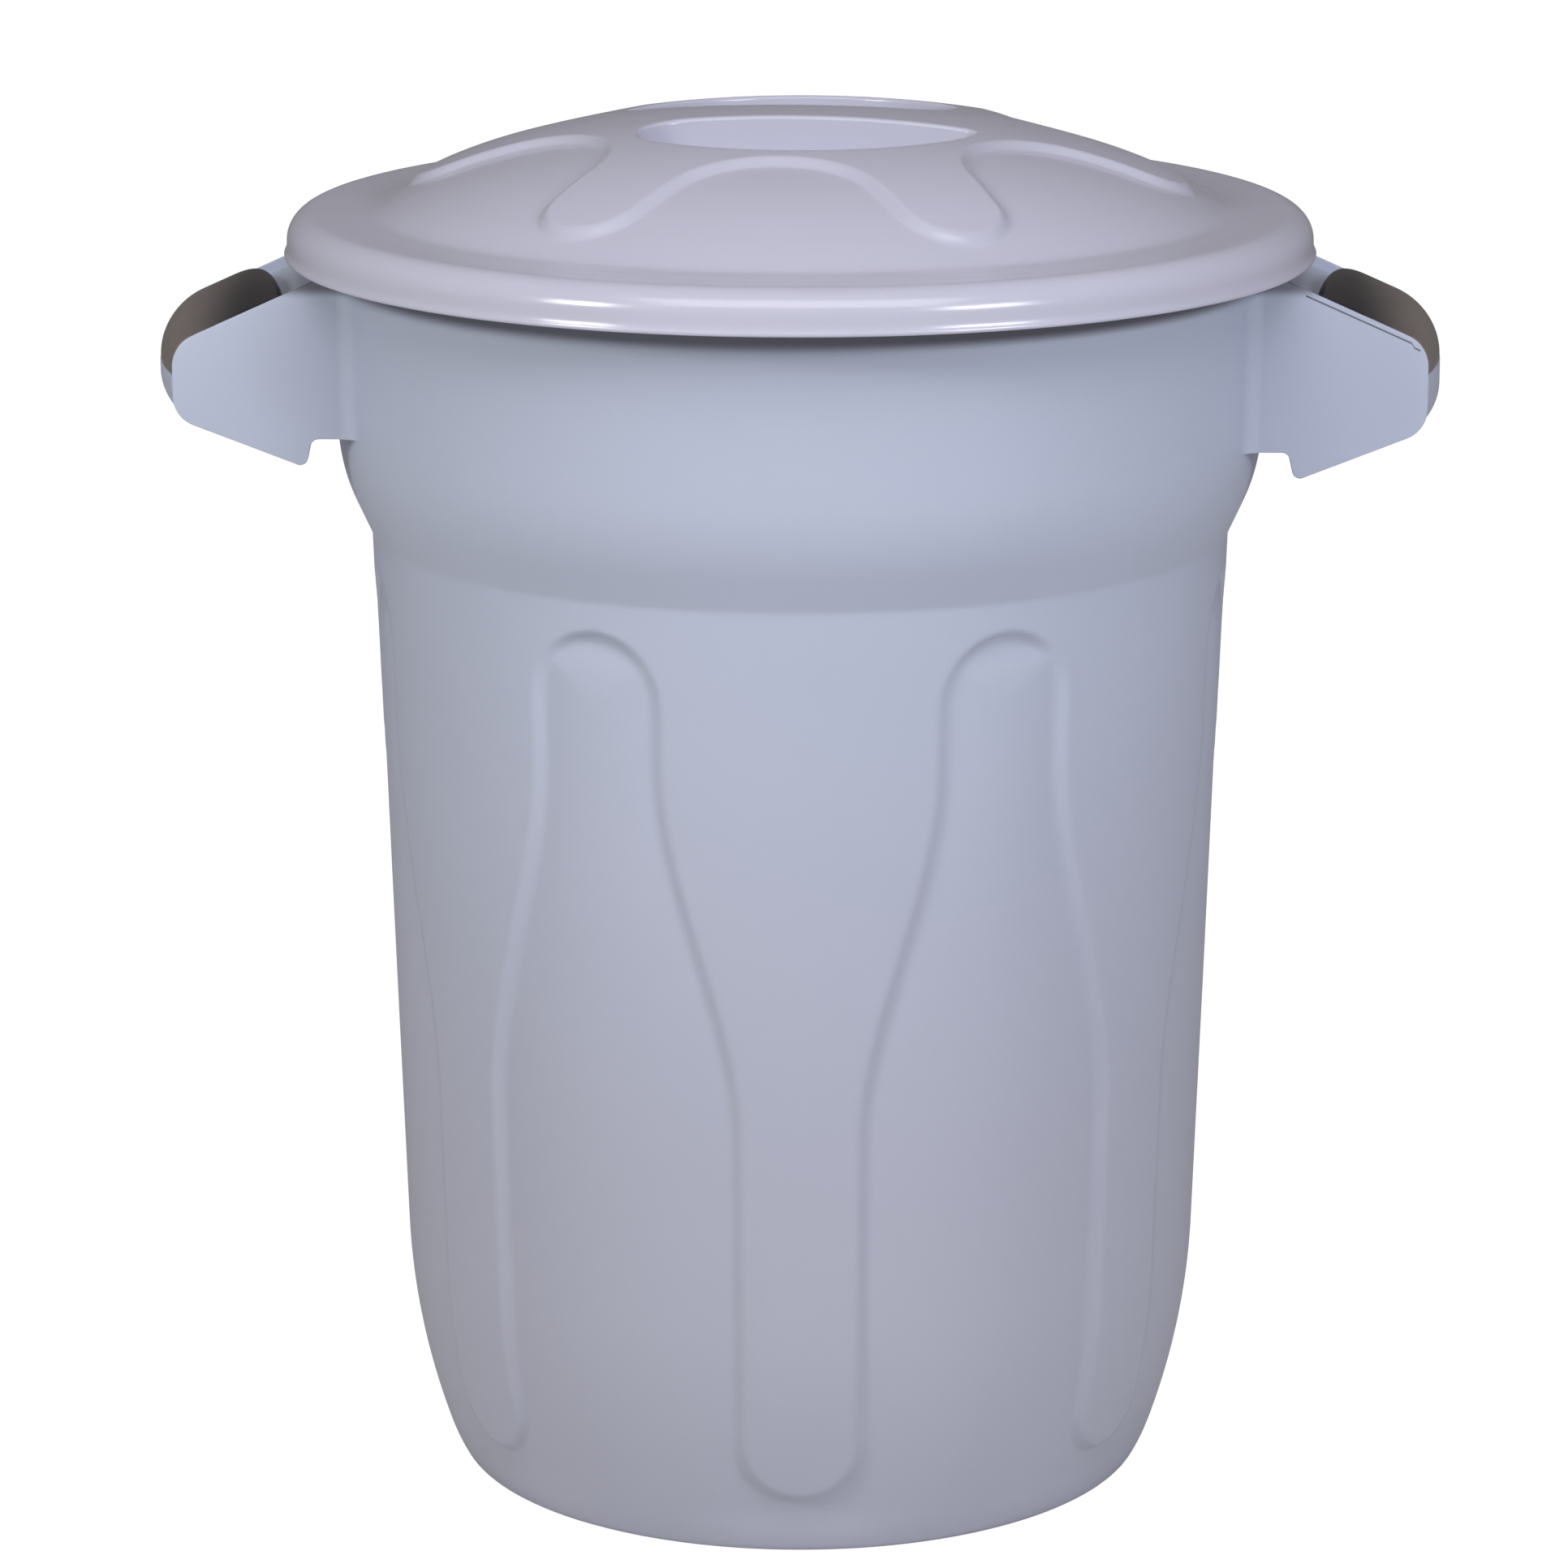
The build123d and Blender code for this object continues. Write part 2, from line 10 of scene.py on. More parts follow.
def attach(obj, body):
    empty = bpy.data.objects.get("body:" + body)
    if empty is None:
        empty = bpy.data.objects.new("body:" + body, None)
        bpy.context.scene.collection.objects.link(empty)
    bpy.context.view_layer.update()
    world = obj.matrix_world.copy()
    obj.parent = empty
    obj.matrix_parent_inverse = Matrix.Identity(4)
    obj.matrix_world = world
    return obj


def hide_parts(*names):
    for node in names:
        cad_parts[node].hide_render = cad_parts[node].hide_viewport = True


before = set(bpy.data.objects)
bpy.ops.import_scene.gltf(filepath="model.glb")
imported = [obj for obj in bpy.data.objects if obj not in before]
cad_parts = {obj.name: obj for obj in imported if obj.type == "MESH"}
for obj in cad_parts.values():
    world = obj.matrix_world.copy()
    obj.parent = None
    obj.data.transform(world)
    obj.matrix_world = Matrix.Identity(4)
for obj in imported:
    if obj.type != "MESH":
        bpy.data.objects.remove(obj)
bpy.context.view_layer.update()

# A round plastic trash can with two side handles, soft grips and a lift-off lid.
# Shapes are worked out in millimetres and turned into metres when a mesh is made.
# Azimuths run from the front (-Y) towards the right (+X).

MM = 0.001

# Tub
WALL = 3.0
BASE_RISE = 5.0
FLOOR_Z = 8.5
STANDING_RING_R = 168.0
FOOT_TOP_Z = 130.0
FOOT_TOP_R = 211.4
FOOT_BEND_Z = 25.4
FOOT_LARGE_ARC = 373.0
FOOT_SMALL_ARC = 99.0
FOOT_EDGE_ARC = 9.9
CREASE_Z = 505.5
CREASE_R = 223.9
CREASE_FILLET = 9.0
CONE_TOP_Z = 524.0
CONE_TOP_R = 232.3
SHOULDER_ARC = 95.0
COLLAR_TILT = 0.02
COLLAR_TOP_Z = 650.0
COLLAR_TOP_R = 242.2
RIM_TOP_Z = 669.5
RIM_R = 260.3
RIM_ARC = 8.8
RIM_LIP_Z = 654.0
TUB_COLUMNS = 600

# Recessed panels
PANEL_AZIMUTHS = (-130.25, -80.5, -27.5, 27.5, 80.5, 130.25, 180.0)
PANEL_HALF_BODY = 20.0     # degrees, at the raised edges
PANEL_HALF_NECK = 9.7
PANEL_BODY_Z = 230.0
PANEL_NECK_Z = 425.0
PANEL_TOP_Z = 491.0
PANEL_REACH = 27.6         # degrees, just over half the widest pitch
PANEL_FOOT_Z = 170.0       # below this the pilasters' round feet shape the panels
PANEL_FEET_ONLY_Z = 80.0   # and below this nothing else does
PANEL_FADE_Z = 1.0         # the panels fade in above this height
PANEL_FADE = 26.0
PANEL_EDGE_DEPTH = 4.4
PANEL_MIDDLE_DEPTH = 0.9
ARCH_DEPTH = 7.0
ARCH_WALL_R = 221.0        # the wall's radius at the arches
STEP_SIDE = 8.5            # width of the sloping wall at a panel's sides
STEP_ARCH = 4.0            # and round the top of its neck
STEP_FOOT = 3.5            # and round a pilaster's foot
PILASTER_TIP_Z = 36.0
PILASTER_WALL_R = 207.0    # the wall's radius at the pilasters' feet

# Lid
LID_TOP_Z = 722.6
LID_RING_Z = 672.3
LID_SHELL = 2.5
DOME_SQUARE = 5.205e-4     # the crown falls by these times r squared and r to the fourth
DOME_FOURTH = 9.065e-9
STAR_RELIEF = 4.0
STAR_STEP = 6.5            # width of the star's sloping wall
STAR_TURN = math.radians(-5)
STAR_ARMS = 6
ARM_CENTRE_R = 176.0
ARM_ARC = 30.0
SCALLOP_CENTRE_R = 171.5
SCALLOP_ARC = 54.0
DOME_EDGE_R = 219.0
DOME_EDGE_BLEND = 5.0
DOME_PLAIN = 25.0          # the blend starts this far inside the dome's edge
LID_EDGE_ARC = 14.0
LID_R = 265.5
LID_FLARE = 1.5
SKIRT_Z = 650.0
SKIRT_LIP_ARC = 1.2
PATCH_R = 211.0            # the star's patch meets the lid's rings here
PATCH_RING_STEP = 3.0      # spacing of its points, from ring to ring and along a ring
PATCH_SPACING = 3.2
LID_COLUMNS = 540
GATE_Y = 2.0               # moulding gate's mark on the grip bar
GATE_R = 2.6

# Finger recesses
RECESS_R = 100.0
RECESS_DEPTH = 26.0
BAR_HALF = 21.6
BAR_EDGE_ARC = 600.0
RECESS_BLUNT_ARC = 28.0
RECESS_SHARP_ARC = 8.0
RECESS_EDGE_ARC = 2.2
RECESS_FOOT_ARC = 3.5
RECESS_LEAN = 1.5

# Handles
HANDLE_HALF = 79.5
PLATE = 3.0
HANDLE_SLOPE = 0.45
HANDLE_TOP_X = 261.5
HANDLE_TOP_Z = 639.5
HANDLE_END_X = 319.6
HANDLE_END_LOW_Z = 592.0
HANDLE_ROOT_X = 227.0
ROOT_FILLET = 10.0
END_CURL_ARC = 22.0
END_CURL_ANGLE = 50.0
HANDLE_CORNER_ARC = 18.0
HANDLE_LOW_ARC = 16.0
HOOK_X = 256.0
HOOK_Z = 551.3
NOTCH_X = 249.0
NOTCH_Z = 564.7
RIGHT_PLATE_DROP = 7.0
END_BOW = 12.5
SKIN_DROP = 5.5
SKIN = 3.0
GRIP_SEAT = 4.6
GRIP_SEAT_Z = 598.0
GRIP_GAP = 0.3
GRIP_INNER_X = 262.0
GRIP_SLANT = 0.10          # the inner end runs outwards towards the back, in a slight curve
GRIP_CURVE = 0.00045
GRIP_SHOULDER = 12.0       # length of the inner end's rounding beside the plates
GRIP_MIDDLE_SHOULDER = 20.0
GRIP_MIDDLE_ARC = 28.0
GRIP_LIFT = 4.0
PARTING_DROP = 3.0         # the right handle's parting line below its near lip
PARTING_START_X = 256.0
PARTING_END_X = 315.0
PARTING_KINK_X = 310.5     # the line steps down here
PARTING_KINK = 1.8
SKIRT_SHADOW_LOW_Z = 637.0         # band of painted shadow under the lid's skirt
SKIRT_SHADOW_HIGH_Z = 656.0
PEG_R = 3.0
PEG_X = 288.0
PEG_Y = 36.0
PEG_LENGTH = 7.0
PEG_SIDES = 24


class Value:
    """A shader socket that takes part in Python sums."""

    def __init__(self, tree, socket):
        self.tree = tree
        self.socket = socket

    def _math(self, operation, *others):
        sockets = dict(enumerate((self,) + others))
        return self.tree.node("ShaderNodeMath", {"operation": operation}, sockets)

    def __add__(self, other):
        return self._math("ADD", other)

    def __sub__(self, other):
        return self._math("SUBTRACT", other)

    def __mul__(self, other):
        return self._math("MULTIPLY", other)

    def __rsub__(self, other):
        return self.tree.node("ShaderNodeMath", {"operation": "SUBTRACT"}, {0: other, 1: self})

    __radd__ = __add__
    __rmul__ = __mul__

    def absolute(self):
        return self._math("ABSOLUTE")

    def smooth(self, low, high):
        """0 below low, 1 above high, smooth between."""
        settings = {"interpolation_type": "SMOOTHSTEP"}
        sockets = {"Value": self, "From Min": low, "From Max": high}
        return self.tree.node("ShaderNodeMapRange", settings, sockets)

    def smooth_mm(self, low, high):
        """The same with both limits in millimetres."""
        return self.smooth(low * MM, high * MM)


class Surface:
    """One material's node tree."""

    def __init__(self, name):
        self.material = bpy.data.materials.new(name)
        self.material.use_nodes = True
        self.nodes = self.material.node_tree.nodes
        self.links = self.material.node_tree.links
        self.shader = self.nodes["Principled BSDF"]
        self.output = self.nodes["Material Output"]

    def node(self, kind, settings, sockets, output=0):
        """Adds a node with its settings and socket values, and gives one of its outputs."""
        made = self.nodes.new(kind)
        for name, value in settings.items():
            setattr(made, name, value)
        for name, value in sockets.items():
            self.put(made.inputs[name], value)
        return Value(self, made.outputs[output])

    def put(self, socket, value):
        if isinstance(value, Value):
            self.links.new(value.socket, socket)
        else:
            socket.default_value = value

    def set(self, **values):
        for name, value in values.items():
            self.put(self.shader.inputs[name.replace("_", " ")], value)

    def coordinates(self):
        """Object coordinates, in metres."""
        return self.node("ShaderNodeTexCoord", {}, {}, "Object")

    def axis(self, name):
        return self.node("ShaderNodeSeparateXYZ", {}, {"Vector": self.coordinates()}, name)

    def noise(self, scale, detail=2.0):
        sockets = {"Vector": self.coordinates(), "Scale": scale, "Detail": detail}
        return self.node("ShaderNodeTexNoise", {}, sockets)

    def mix(self, factor, first, second):
        """Mixes two colours. The mix node takes them at sockets 6 and 7 and gives the result at output 2."""
        sockets = {0: factor, 6: first, 7: second}
        return self.node("ShaderNodeMix", {"data_type": "RGBA", "clamp_factor": True}, sockets, 2)

    def bump(self, height, strength, distance):
        sockets = {"Height": height, "Strength": strength, "Distance": distance}
        return self.node("ShaderNodeBump", {}, sockets)


def colour(red, green, blue):
    """Display colour from 0 to 255, as the linear colour that a shader takes."""
    def linear(channel):
        share = channel / 255
        return share / 12.92 if share <= 0.04045 else ((share + 0.055) / 1.055) ** 2.4
    return (linear(red), linear(green), linear(blue), 1)


def tub_plastic():
    """Satin plastic, with painted shade darker towards the bottom and a band of painted shadow under the
    lid's skirt.

    A fine parting line runs along the right handle's near lip.
    """
    surface = Surface("tub_plastic")
    cloud = surface.noise(5.0, 3.0)
    grain = surface.noise(900.0, 2.0)
    across, back, height = surface.axis("X"), surface.axis("Y"), surface.axis("Z")
    # Painted shade: the low colours are darker and greyer, standing in for the light falling off down the
    # tub.
    low = surface.mix(cloud, colour(168, 170, 186), colour(176, 177, 194))
    high = surface.mix(cloud, colour(174, 182, 202), colour(181, 188, 209))
    body = surface.mix(height.smooth_mm(50, 620), low, high)
    kink = across.smooth_mm(PARTING_KINK_X, PARTING_KINK_X + 2) * (PARTING_KINK * MM)
    from_line = (height + across * HANDLE_SLOPE - (edge_z(0) - PARTING_DROP) * MM + kink).absolute()
    past_start = across.smooth_mm(PARTING_START_X, PARTING_START_X + 1)
    past_end = across.smooth_mm(PARTING_END_X, PARTING_END_X + 0.5)
    near_face = 1 - back.smooth_mm(0.5 - HANDLE_HALF, 1 - HANDLE_HALF)
    line = (1 - from_line.smooth_mm(0.2, 0.7)) * past_start * (1 - past_end) * near_face
    # Painted shadow: a dark band on the collar just under the lid's skirt, where the skirt shades it.
    above_low = height.smooth_mm(SKIRT_SHADOW_LOW_Z, SKIRT_SHADOW_LOW_Z + 6)
    above_high = height.smooth_mm(SKIRT_SHADOW_HIGH_Z, SKIRT_SHADOW_HIGH_Z + 4)
    skirt_shadow = above_low * (1 - above_high) * (0.6 + cloud * 0.3)
    # The dark colour serves both the painted shadow band and the parting line.
    marked = surface.mix(skirt_shadow + line * 0.9, body, colour(78, 76, 82))
    surface.set(Base_Color=marked, Roughness=0.36 + cloud * 0.10)
    surface.set(Normal=surface.bump(grain - line * 4, 0.12, 0.0003), Specular_IOR_Level=0.45)
    return surface.material


def lid_plastic():
    """Glossier plastic, with a painted highlight: the moulding gate's raised mark on top of the grip bar is
    painted pale.
    """
    surface = Surface("lid_plastic")
    cloud = surface.noise(6.0, 3.0)
    grain = surface.noise(900.0, 2.0)
    body = surface.mix(cloud, colour(182, 182, 200), colour(189, 189, 208))
    across, back, height = surface.axis("X"), surface.axis("Y") - GATE_Y * MM, surface.axis("Z")
    mark_size = (GATE_R * MM) ** 2
    near_gate = 1 - (across * across + back * back).smooth(mark_size * 0.4, mark_size)
    top_face = height.smooth_mm(LID_TOP_Z - 1.6, LID_TOP_Z - 1.1)
    gate = near_gate * top_face
    # Painted highlight: the gate's raised mark is painted pale where a glint falls on it.
    marked = surface.mix(gate * 0.7, body, colour(214, 196, 205))
    surface.set(Base_Color=marked, Roughness=0.15 + cloud * 0.07)
    surface.set(Normal=surface.bump(grain + gate * 3, 0.06, 0.0002))
    return surface.material


def grip_rubber():
    """Dark satin rubber, with a painted sheen paler towards the handles' ends and painted shade near black
    at the inner ends.
    """
    surface = Surface("grip_rubber")
    cloud = surface.noise(40.0, 4.0)
    grain = surface.noise(2200.0, 2.0)
    # Painted sheen and shade: paler towards the outer ends, where the rubber catches reflections, and nearly
    # black at the inner ends under the lid.
    painted_sheen = surface.axis("X").absolute().smooth_mm(282, 322)
    shaded_dark = surface.mix(cloud, colour(22, 21, 27), colour(32, 30, 36))
    sheen_pale = surface.mix(cloud, colour(108, 99, 97), colour(120, 112, 110))
    surface.set(Base_Color=surface.mix(painted_sheen, shaded_dark, sheen_pale), Roughness=0.30 + cloud * 0.12)
    surface.set(Normal=surface.bump(grain, 0.2, 0.0002))
    return surface.material


def mesh_object(name, points, faces, material, body, nodes, smooth_angle=None):
    """Object from points in millimetres and faces, riding on a body in place of CAD nodes."""
    mesh = bpy.data.meshes.new(name)
    mesh.from_pydata((np.asarray(points, float) * MM).tolist(), [], [list(face) for face in faces])
    mesh.validate()
    mesh.polygons.foreach_set("use_smooth", [True] * len(mesh.polygons))
    if smooth_angle is not None:
        mesh.set_sharp_from_angle(angle=smooth_angle)
    mesh.materials.append(material)
    thing = bpy.data.objects.new(name, mesh)
    bpy.context.scene.collection.objects.link(thing)
    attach(thing, body)
    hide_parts(*nodes)
    return thing


def ring_faces(rows, columns):
    """Quads between rows of points, each row closed on itself."""
    faces = []
    for row in range(rows - 1):
        for column in range(columns):
            after = (column + 1) % columns
            low = row * columns
            faces.append((low + column, low + after, low + columns + after, low + columns + column))
    return faces


def tube_faces(rows, columns):
    """Faces of a tube of closed rows of points, with a cap at each end."""
    last = (rows - 1) * columns
    caps = [tuple(range(columns))[::-1], tuple(last + i for i in range(columns))]
    return ring_faces(rows, columns) + caps


def direction(angle):
    return np.array([math.cos(angle), math.sin(angle)])


def circle_points(radius, angles):
    return np.stack([radius * np.cos(angles), radius * np.sin(angles)], -1)


def smooth_step(value):
    value = np.clip(value, 0, 1)
    return value * value * (3 - 2 * value)


def arc_down(point, radius, tilt, end_tilt, count):
    """Points along an arc down the wall, whose tilt from upright turns from tilt to end_tilt."""
    turns = np.linspace(tilt, end_tilt, count)[1:]
    r, z = point
    return [(r - radius * (math.cos(tilt) - math.cos(t)), z - radius * (math.sin(t) - math.sin(tilt)))
            for t in turns]


def round_arc(centre, radius, start, end, count):
    """Points on an arc given by its centre and angles in degrees from +r towards +z."""
    return [(centre[0] + radius * math.cos(math.radians(a)), centre[1] + radius * math.sin(math.radians(a)))
            for a in np.linspace(start, end, count)]


def straight(first, last, step):
    """Points after first up to last, no more than step apart."""
    count = max(1, int(math.ceil(math.dist(first, last) / step)))
    move = np.array(last) - np.array(first)
    return [tuple(np.array(first) + move * (i + 1) / count) for i in range(count)]


def outer_profile():
    """The tub's outer wall from the standing ring up to the rim, as (r, z) points at the raised level."""
    wall_tilt = math.atan2(CREASE_R - FOOT_TOP_R, CREASE_Z - FOOT_TOP_Z)
    bend_tilt = math.asin(math.sin(wall_tilt) + (FOOT_TOP_Z - FOOT_BEND_Z) / FOOT_LARGE_ARC)
    edge_drop = FOOT_BEND_Z + FOOT_SMALL_ARC * math.sin(bend_tilt) - FOOT_EDGE_ARC
    edge_tilt = math.asin(edge_drop / (FOOT_SMALL_ARC - FOOT_EDGE_ARC))
    points = [(FOOT_TOP_R, FOOT_TOP_Z)]
    points += arc_down(points[-1], FOOT_LARGE_ARC, wall_tilt, bend_tilt, 46)
    points += arc_down(points[-1], FOOT_SMALL_ARC, bend_tilt, edge_tilt, 14)
    points += arc_down(points[-1], FOOT_EDGE_ARC, edge_tilt, math.pi / 2, 9)
    points.reverse()
    cone_tilt = math.atan2(CONE_TOP_R - CREASE_R, CONE_TOP_Z - CREASE_Z)
    half = (cone_tilt - wall_tilt) / 2
    cut = CREASE_FILLET * math.tan(half)
    low = (CREASE_R - cut * math.sin(wall_tilt), CREASE_Z - cut * math.cos(wall_tilt))
    points += straight(points[-1], low, 2.0)
    turns = np.linspace(wall_tilt, cone_tilt, 7)[1:]
    centre = (low[0] + CREASE_FILLET * math.cos(wall_tilt), low[1] - CREASE_FILLET * math.sin(wall_tilt))
    points += [(centre[0] - CREASE_FILLET * math.cos(t), centre[1] + CREASE_FILLET * math.sin(t))
               for t in turns]
    points += straight(points[-1], (CONE_TOP_R, CONE_TOP_Z), 2.5)
    turns = np.linspace(cone_tilt, COLLAR_TILT, 20)[1:]
    points += [(CONE_TOP_R + SHOULDER_ARC * (math.cos(t) - math.cos(cone_tilt)),
                CONE_TOP_Z + SHOULDER_ARC * (math.sin(cone_tilt) - math.sin(t))) for t in turns]
    points += straight(points[-1], (COLLAR_TOP_R, COLLAR_TOP_Z), 4.0)
    return points


def rim_profile():
    """The rolled rim, from the outside of the collar over the top to the inside of the mouth."""
    seat_r = RIM_R - RIM_ARC
    arc_z = RIM_TOP_Z - RIM_ARC
    mouth_arc = 2
    points = round_arc((COLLAR_TOP_R + mouth_arc, RIM_TOP_Z - WALL - mouth_arc), mouth_arc, 180, 90, 5)
    points += round_arc((seat_r, arc_z), RIM_ARC - WALL, 90, 0, 8)
    points += [(RIM_R - WALL, RIM_LIP_Z + 1)]
    points += round_arc((RIM_R - WALL / 2, RIM_LIP_Z + WALL / 2), WALL / 2, 180, 360, 9)
    points += round_arc((seat_r, arc_z), RIM_ARC, 0, 90, 12)
    points += round_arc((COLLAR_TOP_R - WALL + mouth_arc, RIM_TOP_Z - mouth_arc), mouth_arc, 90, 180, 5)
    return points


def panel_depth(azimuth, r, z):
    """How far the wall lies inside its raised level, for arrays of azimuth in degrees, radius and height."""
    far = 1e3
    depth = np.zeros_like(z)
    mm_per_degree = np.maximum(r, 1) * math.pi / 180
    neck_rise = PANEL_NECK_Z - PANEL_BODY_Z
    narrowing = PANEL_HALF_BODY - PANEL_HALF_NECK
    neck = smooth_step((z - PANEL_BODY_Z) / neck_rise)
    half = (PANEL_HALF_BODY - narrowing * neck) * mm_per_degree
    slope = 6 * narrowing * mm_per_degree / neck_rise * neck * (1 - neck)
    arch_r = PANEL_HALF_NECK * ARCH_WALL_R * math.pi / 180
    arch_z = PANEL_TOP_Z - arch_r
    ends = list(PANEL_AZIMUTHS[1:]) + [PANEL_AZIMUTHS[0] + 360]
    foot_distance = np.full_like(z, far)
    foot_lean = np.zeros_like(z)
    for start, end in zip(PANEL_AZIMUTHS, ends):
        tongue = ((end - start) / 2 - PANEL_HALF_BODY) * PILASTER_WALL_R * math.pi / 180
        across = ((azimuth - (start + end) / 2 + 180) % 360 - 180) * mm_per_degree
        below = np.maximum(PILASTER_TIP_Z + tongue - z, 0)
        foot_distance = np.minimum(foot_distance, np.hypot(across, below) - tongue)
        lean = np.clip(below / tongue, 0, 1) * (np.abs(across) < 2 * tongue)
        foot_lean = np.maximum(foot_lean, lean)
    in_foot = z < PANEL_FOOT_Z
    for centre in PANEL_AZIMUTHS:
        across = np.abs(((azimuth - centre + 180) % 360 - 180) * mm_per_degree)
        side = (half - across) / np.hypot(1, slope)
        arch = arch_r - np.hypot(across, np.maximum(z - arch_z, 0))
        distance = np.where(z > arch_z, arch, side)
        low_side = side + far * (z < PANEL_FEET_ONLY_Z)
        distance = np.where(in_foot, np.minimum(foot_distance, low_side), distance)
        mine = across < PANEL_REACH * mm_per_degree
        lean = np.clip((z - arch_z) / arch_r, 0, 1)
        step = STEP_SIDE + (STEP_ARCH - STEP_SIDE) * lean
        step = np.where(in_foot, step + (STEP_FOOT - STEP_SIDE) * foot_lean, step)
        sideways = np.clip(across / half, 0, 1)
        bowl = PANEL_MIDDLE_DEPTH + (PANEL_EDGE_DEPTH - PANEL_MIDDLE_DEPTH) * sideways ** 2
        arch_bowl = PANEL_MIDDLE_DEPTH + (ARCH_DEPTH - PANEL_MIDDLE_DEPTH) * lean ** 2
        bowl = np.maximum(bowl, arch_bowl)
        depth = np.where(mine, np.maximum(depth, smooth_step(distance / step) * bowl), depth)
    return depth * smooth_step((z - PANEL_FADE_Z) / PANEL_FADE)


def tub_shell(material):
    """The tub without its handles: one closed skin from the base over the rim to the floor inside."""
    outer = outer_profile()
    rim = rim_profile()
    inner = [(r - WALL, z) for r, z in reversed(outer) if z > FLOOR_Z + 6][::3]
    floor_corner = (inner[-1][0] - 4, FLOOR_Z)
    ring_r = STANDING_RING_R
    base = [
        (40, BASE_RISE),
        (100, BASE_RISE),
        (ring_r - 6, BASE_RISE),
        (ring_r - 2, BASE_RISE - 0.6),
        (ring_r, BASE_RISE - 2.5),
        (ring_r + 0.4, 1.0),
        (ring_r + 1.6, 0.2),
        (ring_r + 3.5, 0.0),
    ]
    floor = [floor_corner, (floor_corner[0] - 3, FLOOR_Z), (110, FLOOR_Z), (50, FLOOR_Z)]
    rows = base + outer + rim + inner + floor
    r = np.array([row[0] for row in rows])[:, None]
    z = np.array([row[1] for row in rows])[:, None]
    azimuth = np.arange(TUB_COLUMNS) * 360 / TUB_COLUMNS
    grid_r = r + np.zeros(TUB_COLUMNS)
    grid_z = z + np.zeros(TUB_COLUMNS)
    depth = panel_depth(azimuth[None, :] + np.zeros_like(grid_z), grid_r, grid_z)
    depth[:len(base)] = 0
    depth[-len(floor):] = 0
    grid_r = grid_r - depth
    turn = np.radians(azimuth)
    points = np.stack([grid_r * np.sin(turn), -grid_r * np.cos(turn), grid_z], -1).reshape(-1, 3)
    faces = ring_faces(len(rows), TUB_COLUMNS)
    ends = np.array([[0, 0, BASE_RISE], [0, 0, FLOOR_Z]])
    under, over = len(points), len(points) + 1
    last = (len(rows) - 1) * TUB_COLUMNS
    for column in range(TUB_COLUMNS):
        after = (column + 1) % TUB_COLUMNS
        faces.append((under, after, column))
        faces.append((over, last + column, last + after))
    points = np.vstack([points, ends])
    return mesh_object("tub_shell", points, faces, material, "tub", ["tub"])


def crown_z(r):
    """Height of the star's top, which also is the grip bar's."""
    return LID_TOP_Z - DOME_SQUARE * r ** 2 - DOME_FOURTH * r ** 4


def star_tangent():
    """Centres of an arm's arc and of a scallop's, and the normal's angle of the line that touches both."""
    arm = np.array([ARM_CENTRE_R, 0])
    scallop = SCALLOP_CENTRE_R * direction(math.pi / STAR_ARMS)
    across = scallop - arm
    turn = math.acos((ARM_ARC + SCALLOP_ARC) / np.linalg.norm(across))
    return arm, scallop, math.atan2(across[1], across[0]) - turn


def star_distance(x, y):
    """Signed distance to the star's foot outline, positive outside."""
    wedge = 2 * math.pi / STAR_ARMS
    angle = np.arctan2(y, x) - STAR_TURN
    folded = np.abs((angle + wedge / 2) % wedge - wedge / 2)
    radius = np.hypot(x, y)
    px, py = radius * np.cos(folded), radius * np.sin(folded)
    arm, scallop, normal_angle = star_tangent()
    normal = direction(normal_angle)
    start = arm + normal * ARM_ARC
    end = scallop - normal * SCALLOP_ARC
    length = np.linalg.norm(end - start)
    along = (end - start) / length
    reach = (px - start[0]) * along[0] + (py - start[1]) * along[1]
    to_line = (px - start[0]) * normal[0] + (py - start[1]) * normal[1]
    to_arm = np.hypot(px - arm[0], py - arm[1]) - ARM_ARC
    to_scallop = SCALLOP_ARC - np.hypot(px - scallop[0], py - scallop[1])
    return np.where(reach < 0, to_arm, np.where(reach > length, to_scallop, to_line))


def lid_top(x, y):
    """Height of the lid's upper face without its recesses."""
    r = np.hypot(x, y)
    dome = crown_z(r) - STAR_RELIEF
    blend = DOME_EDGE_BLEND
    low = LID_RING_Z + 0.5 * (dome - LID_RING_Z + np.sqrt((dome - LID_RING_Z) ** 2 + blend ** 2 / 4))
    low = np.where(r < DOME_EDGE_R - DOME_PLAIN, dome, low)
    return low + STAR_RELIEF * smooth_step(-star_distance(x, y) / STAR_STEP)


def recess_loop(grow):
    """Outline of the front recess in the bar's frame, grown outwards, as points every few millimetres."""
    outer = RECESS_R + grow
    bar_arc = BAR_EDGE_ARC + grow
    bar_centre = np.array([0, -(BAR_HALF + BAR_EDGE_ARC)])

    def end(radius, side):
        y = ((bar_arc - radius) ** 2 - (outer - radius) ** 2 - bar_centre[1] ** 2) / (-2 * bar_centre[1])
        return np.array([side * math.sqrt((outer - radius) ** 2 - y ** 2), y])

    def sweep(centre, radius, first, last, count):
        angles = np.linspace(first, last, count, endpoint=False)
        return circle_points(radius, angles) + centre

    blunt = RECESS_BLUNT_ARC + grow
    sharp = max(RECESS_SHARP_ARC + grow, 0.6)
    left, right = end(blunt, -1), end(sharp, 1)
    left_out = math.atan2(left[1], left[0])
    right_out = math.atan2(right[1], right[0])
    left_bar = math.atan2(*(left - bar_centre)[::-1])
    right_bar = math.atan2(*(right - bar_centre)[::-1])
    parts = [
        sweep((0, 0), outer, left_out, right_out, 44),
        sweep(right, sharp, right_out, right_bar, 12),
        sweep(bar_centre, bar_arc, right_bar, left_bar, 44),
        sweep(left, blunt, left_bar, left_out + 2 * math.pi, 22),
    ]
    return np.vstack(parts)


def turned_points(points, angle):
    cosine, sine = math.cos(angle), math.sin(angle)
    x, y = points[:, 0], points[:, 1]
    return np.stack([x * cosine - y * sine, x * sine + y * cosine], -1)


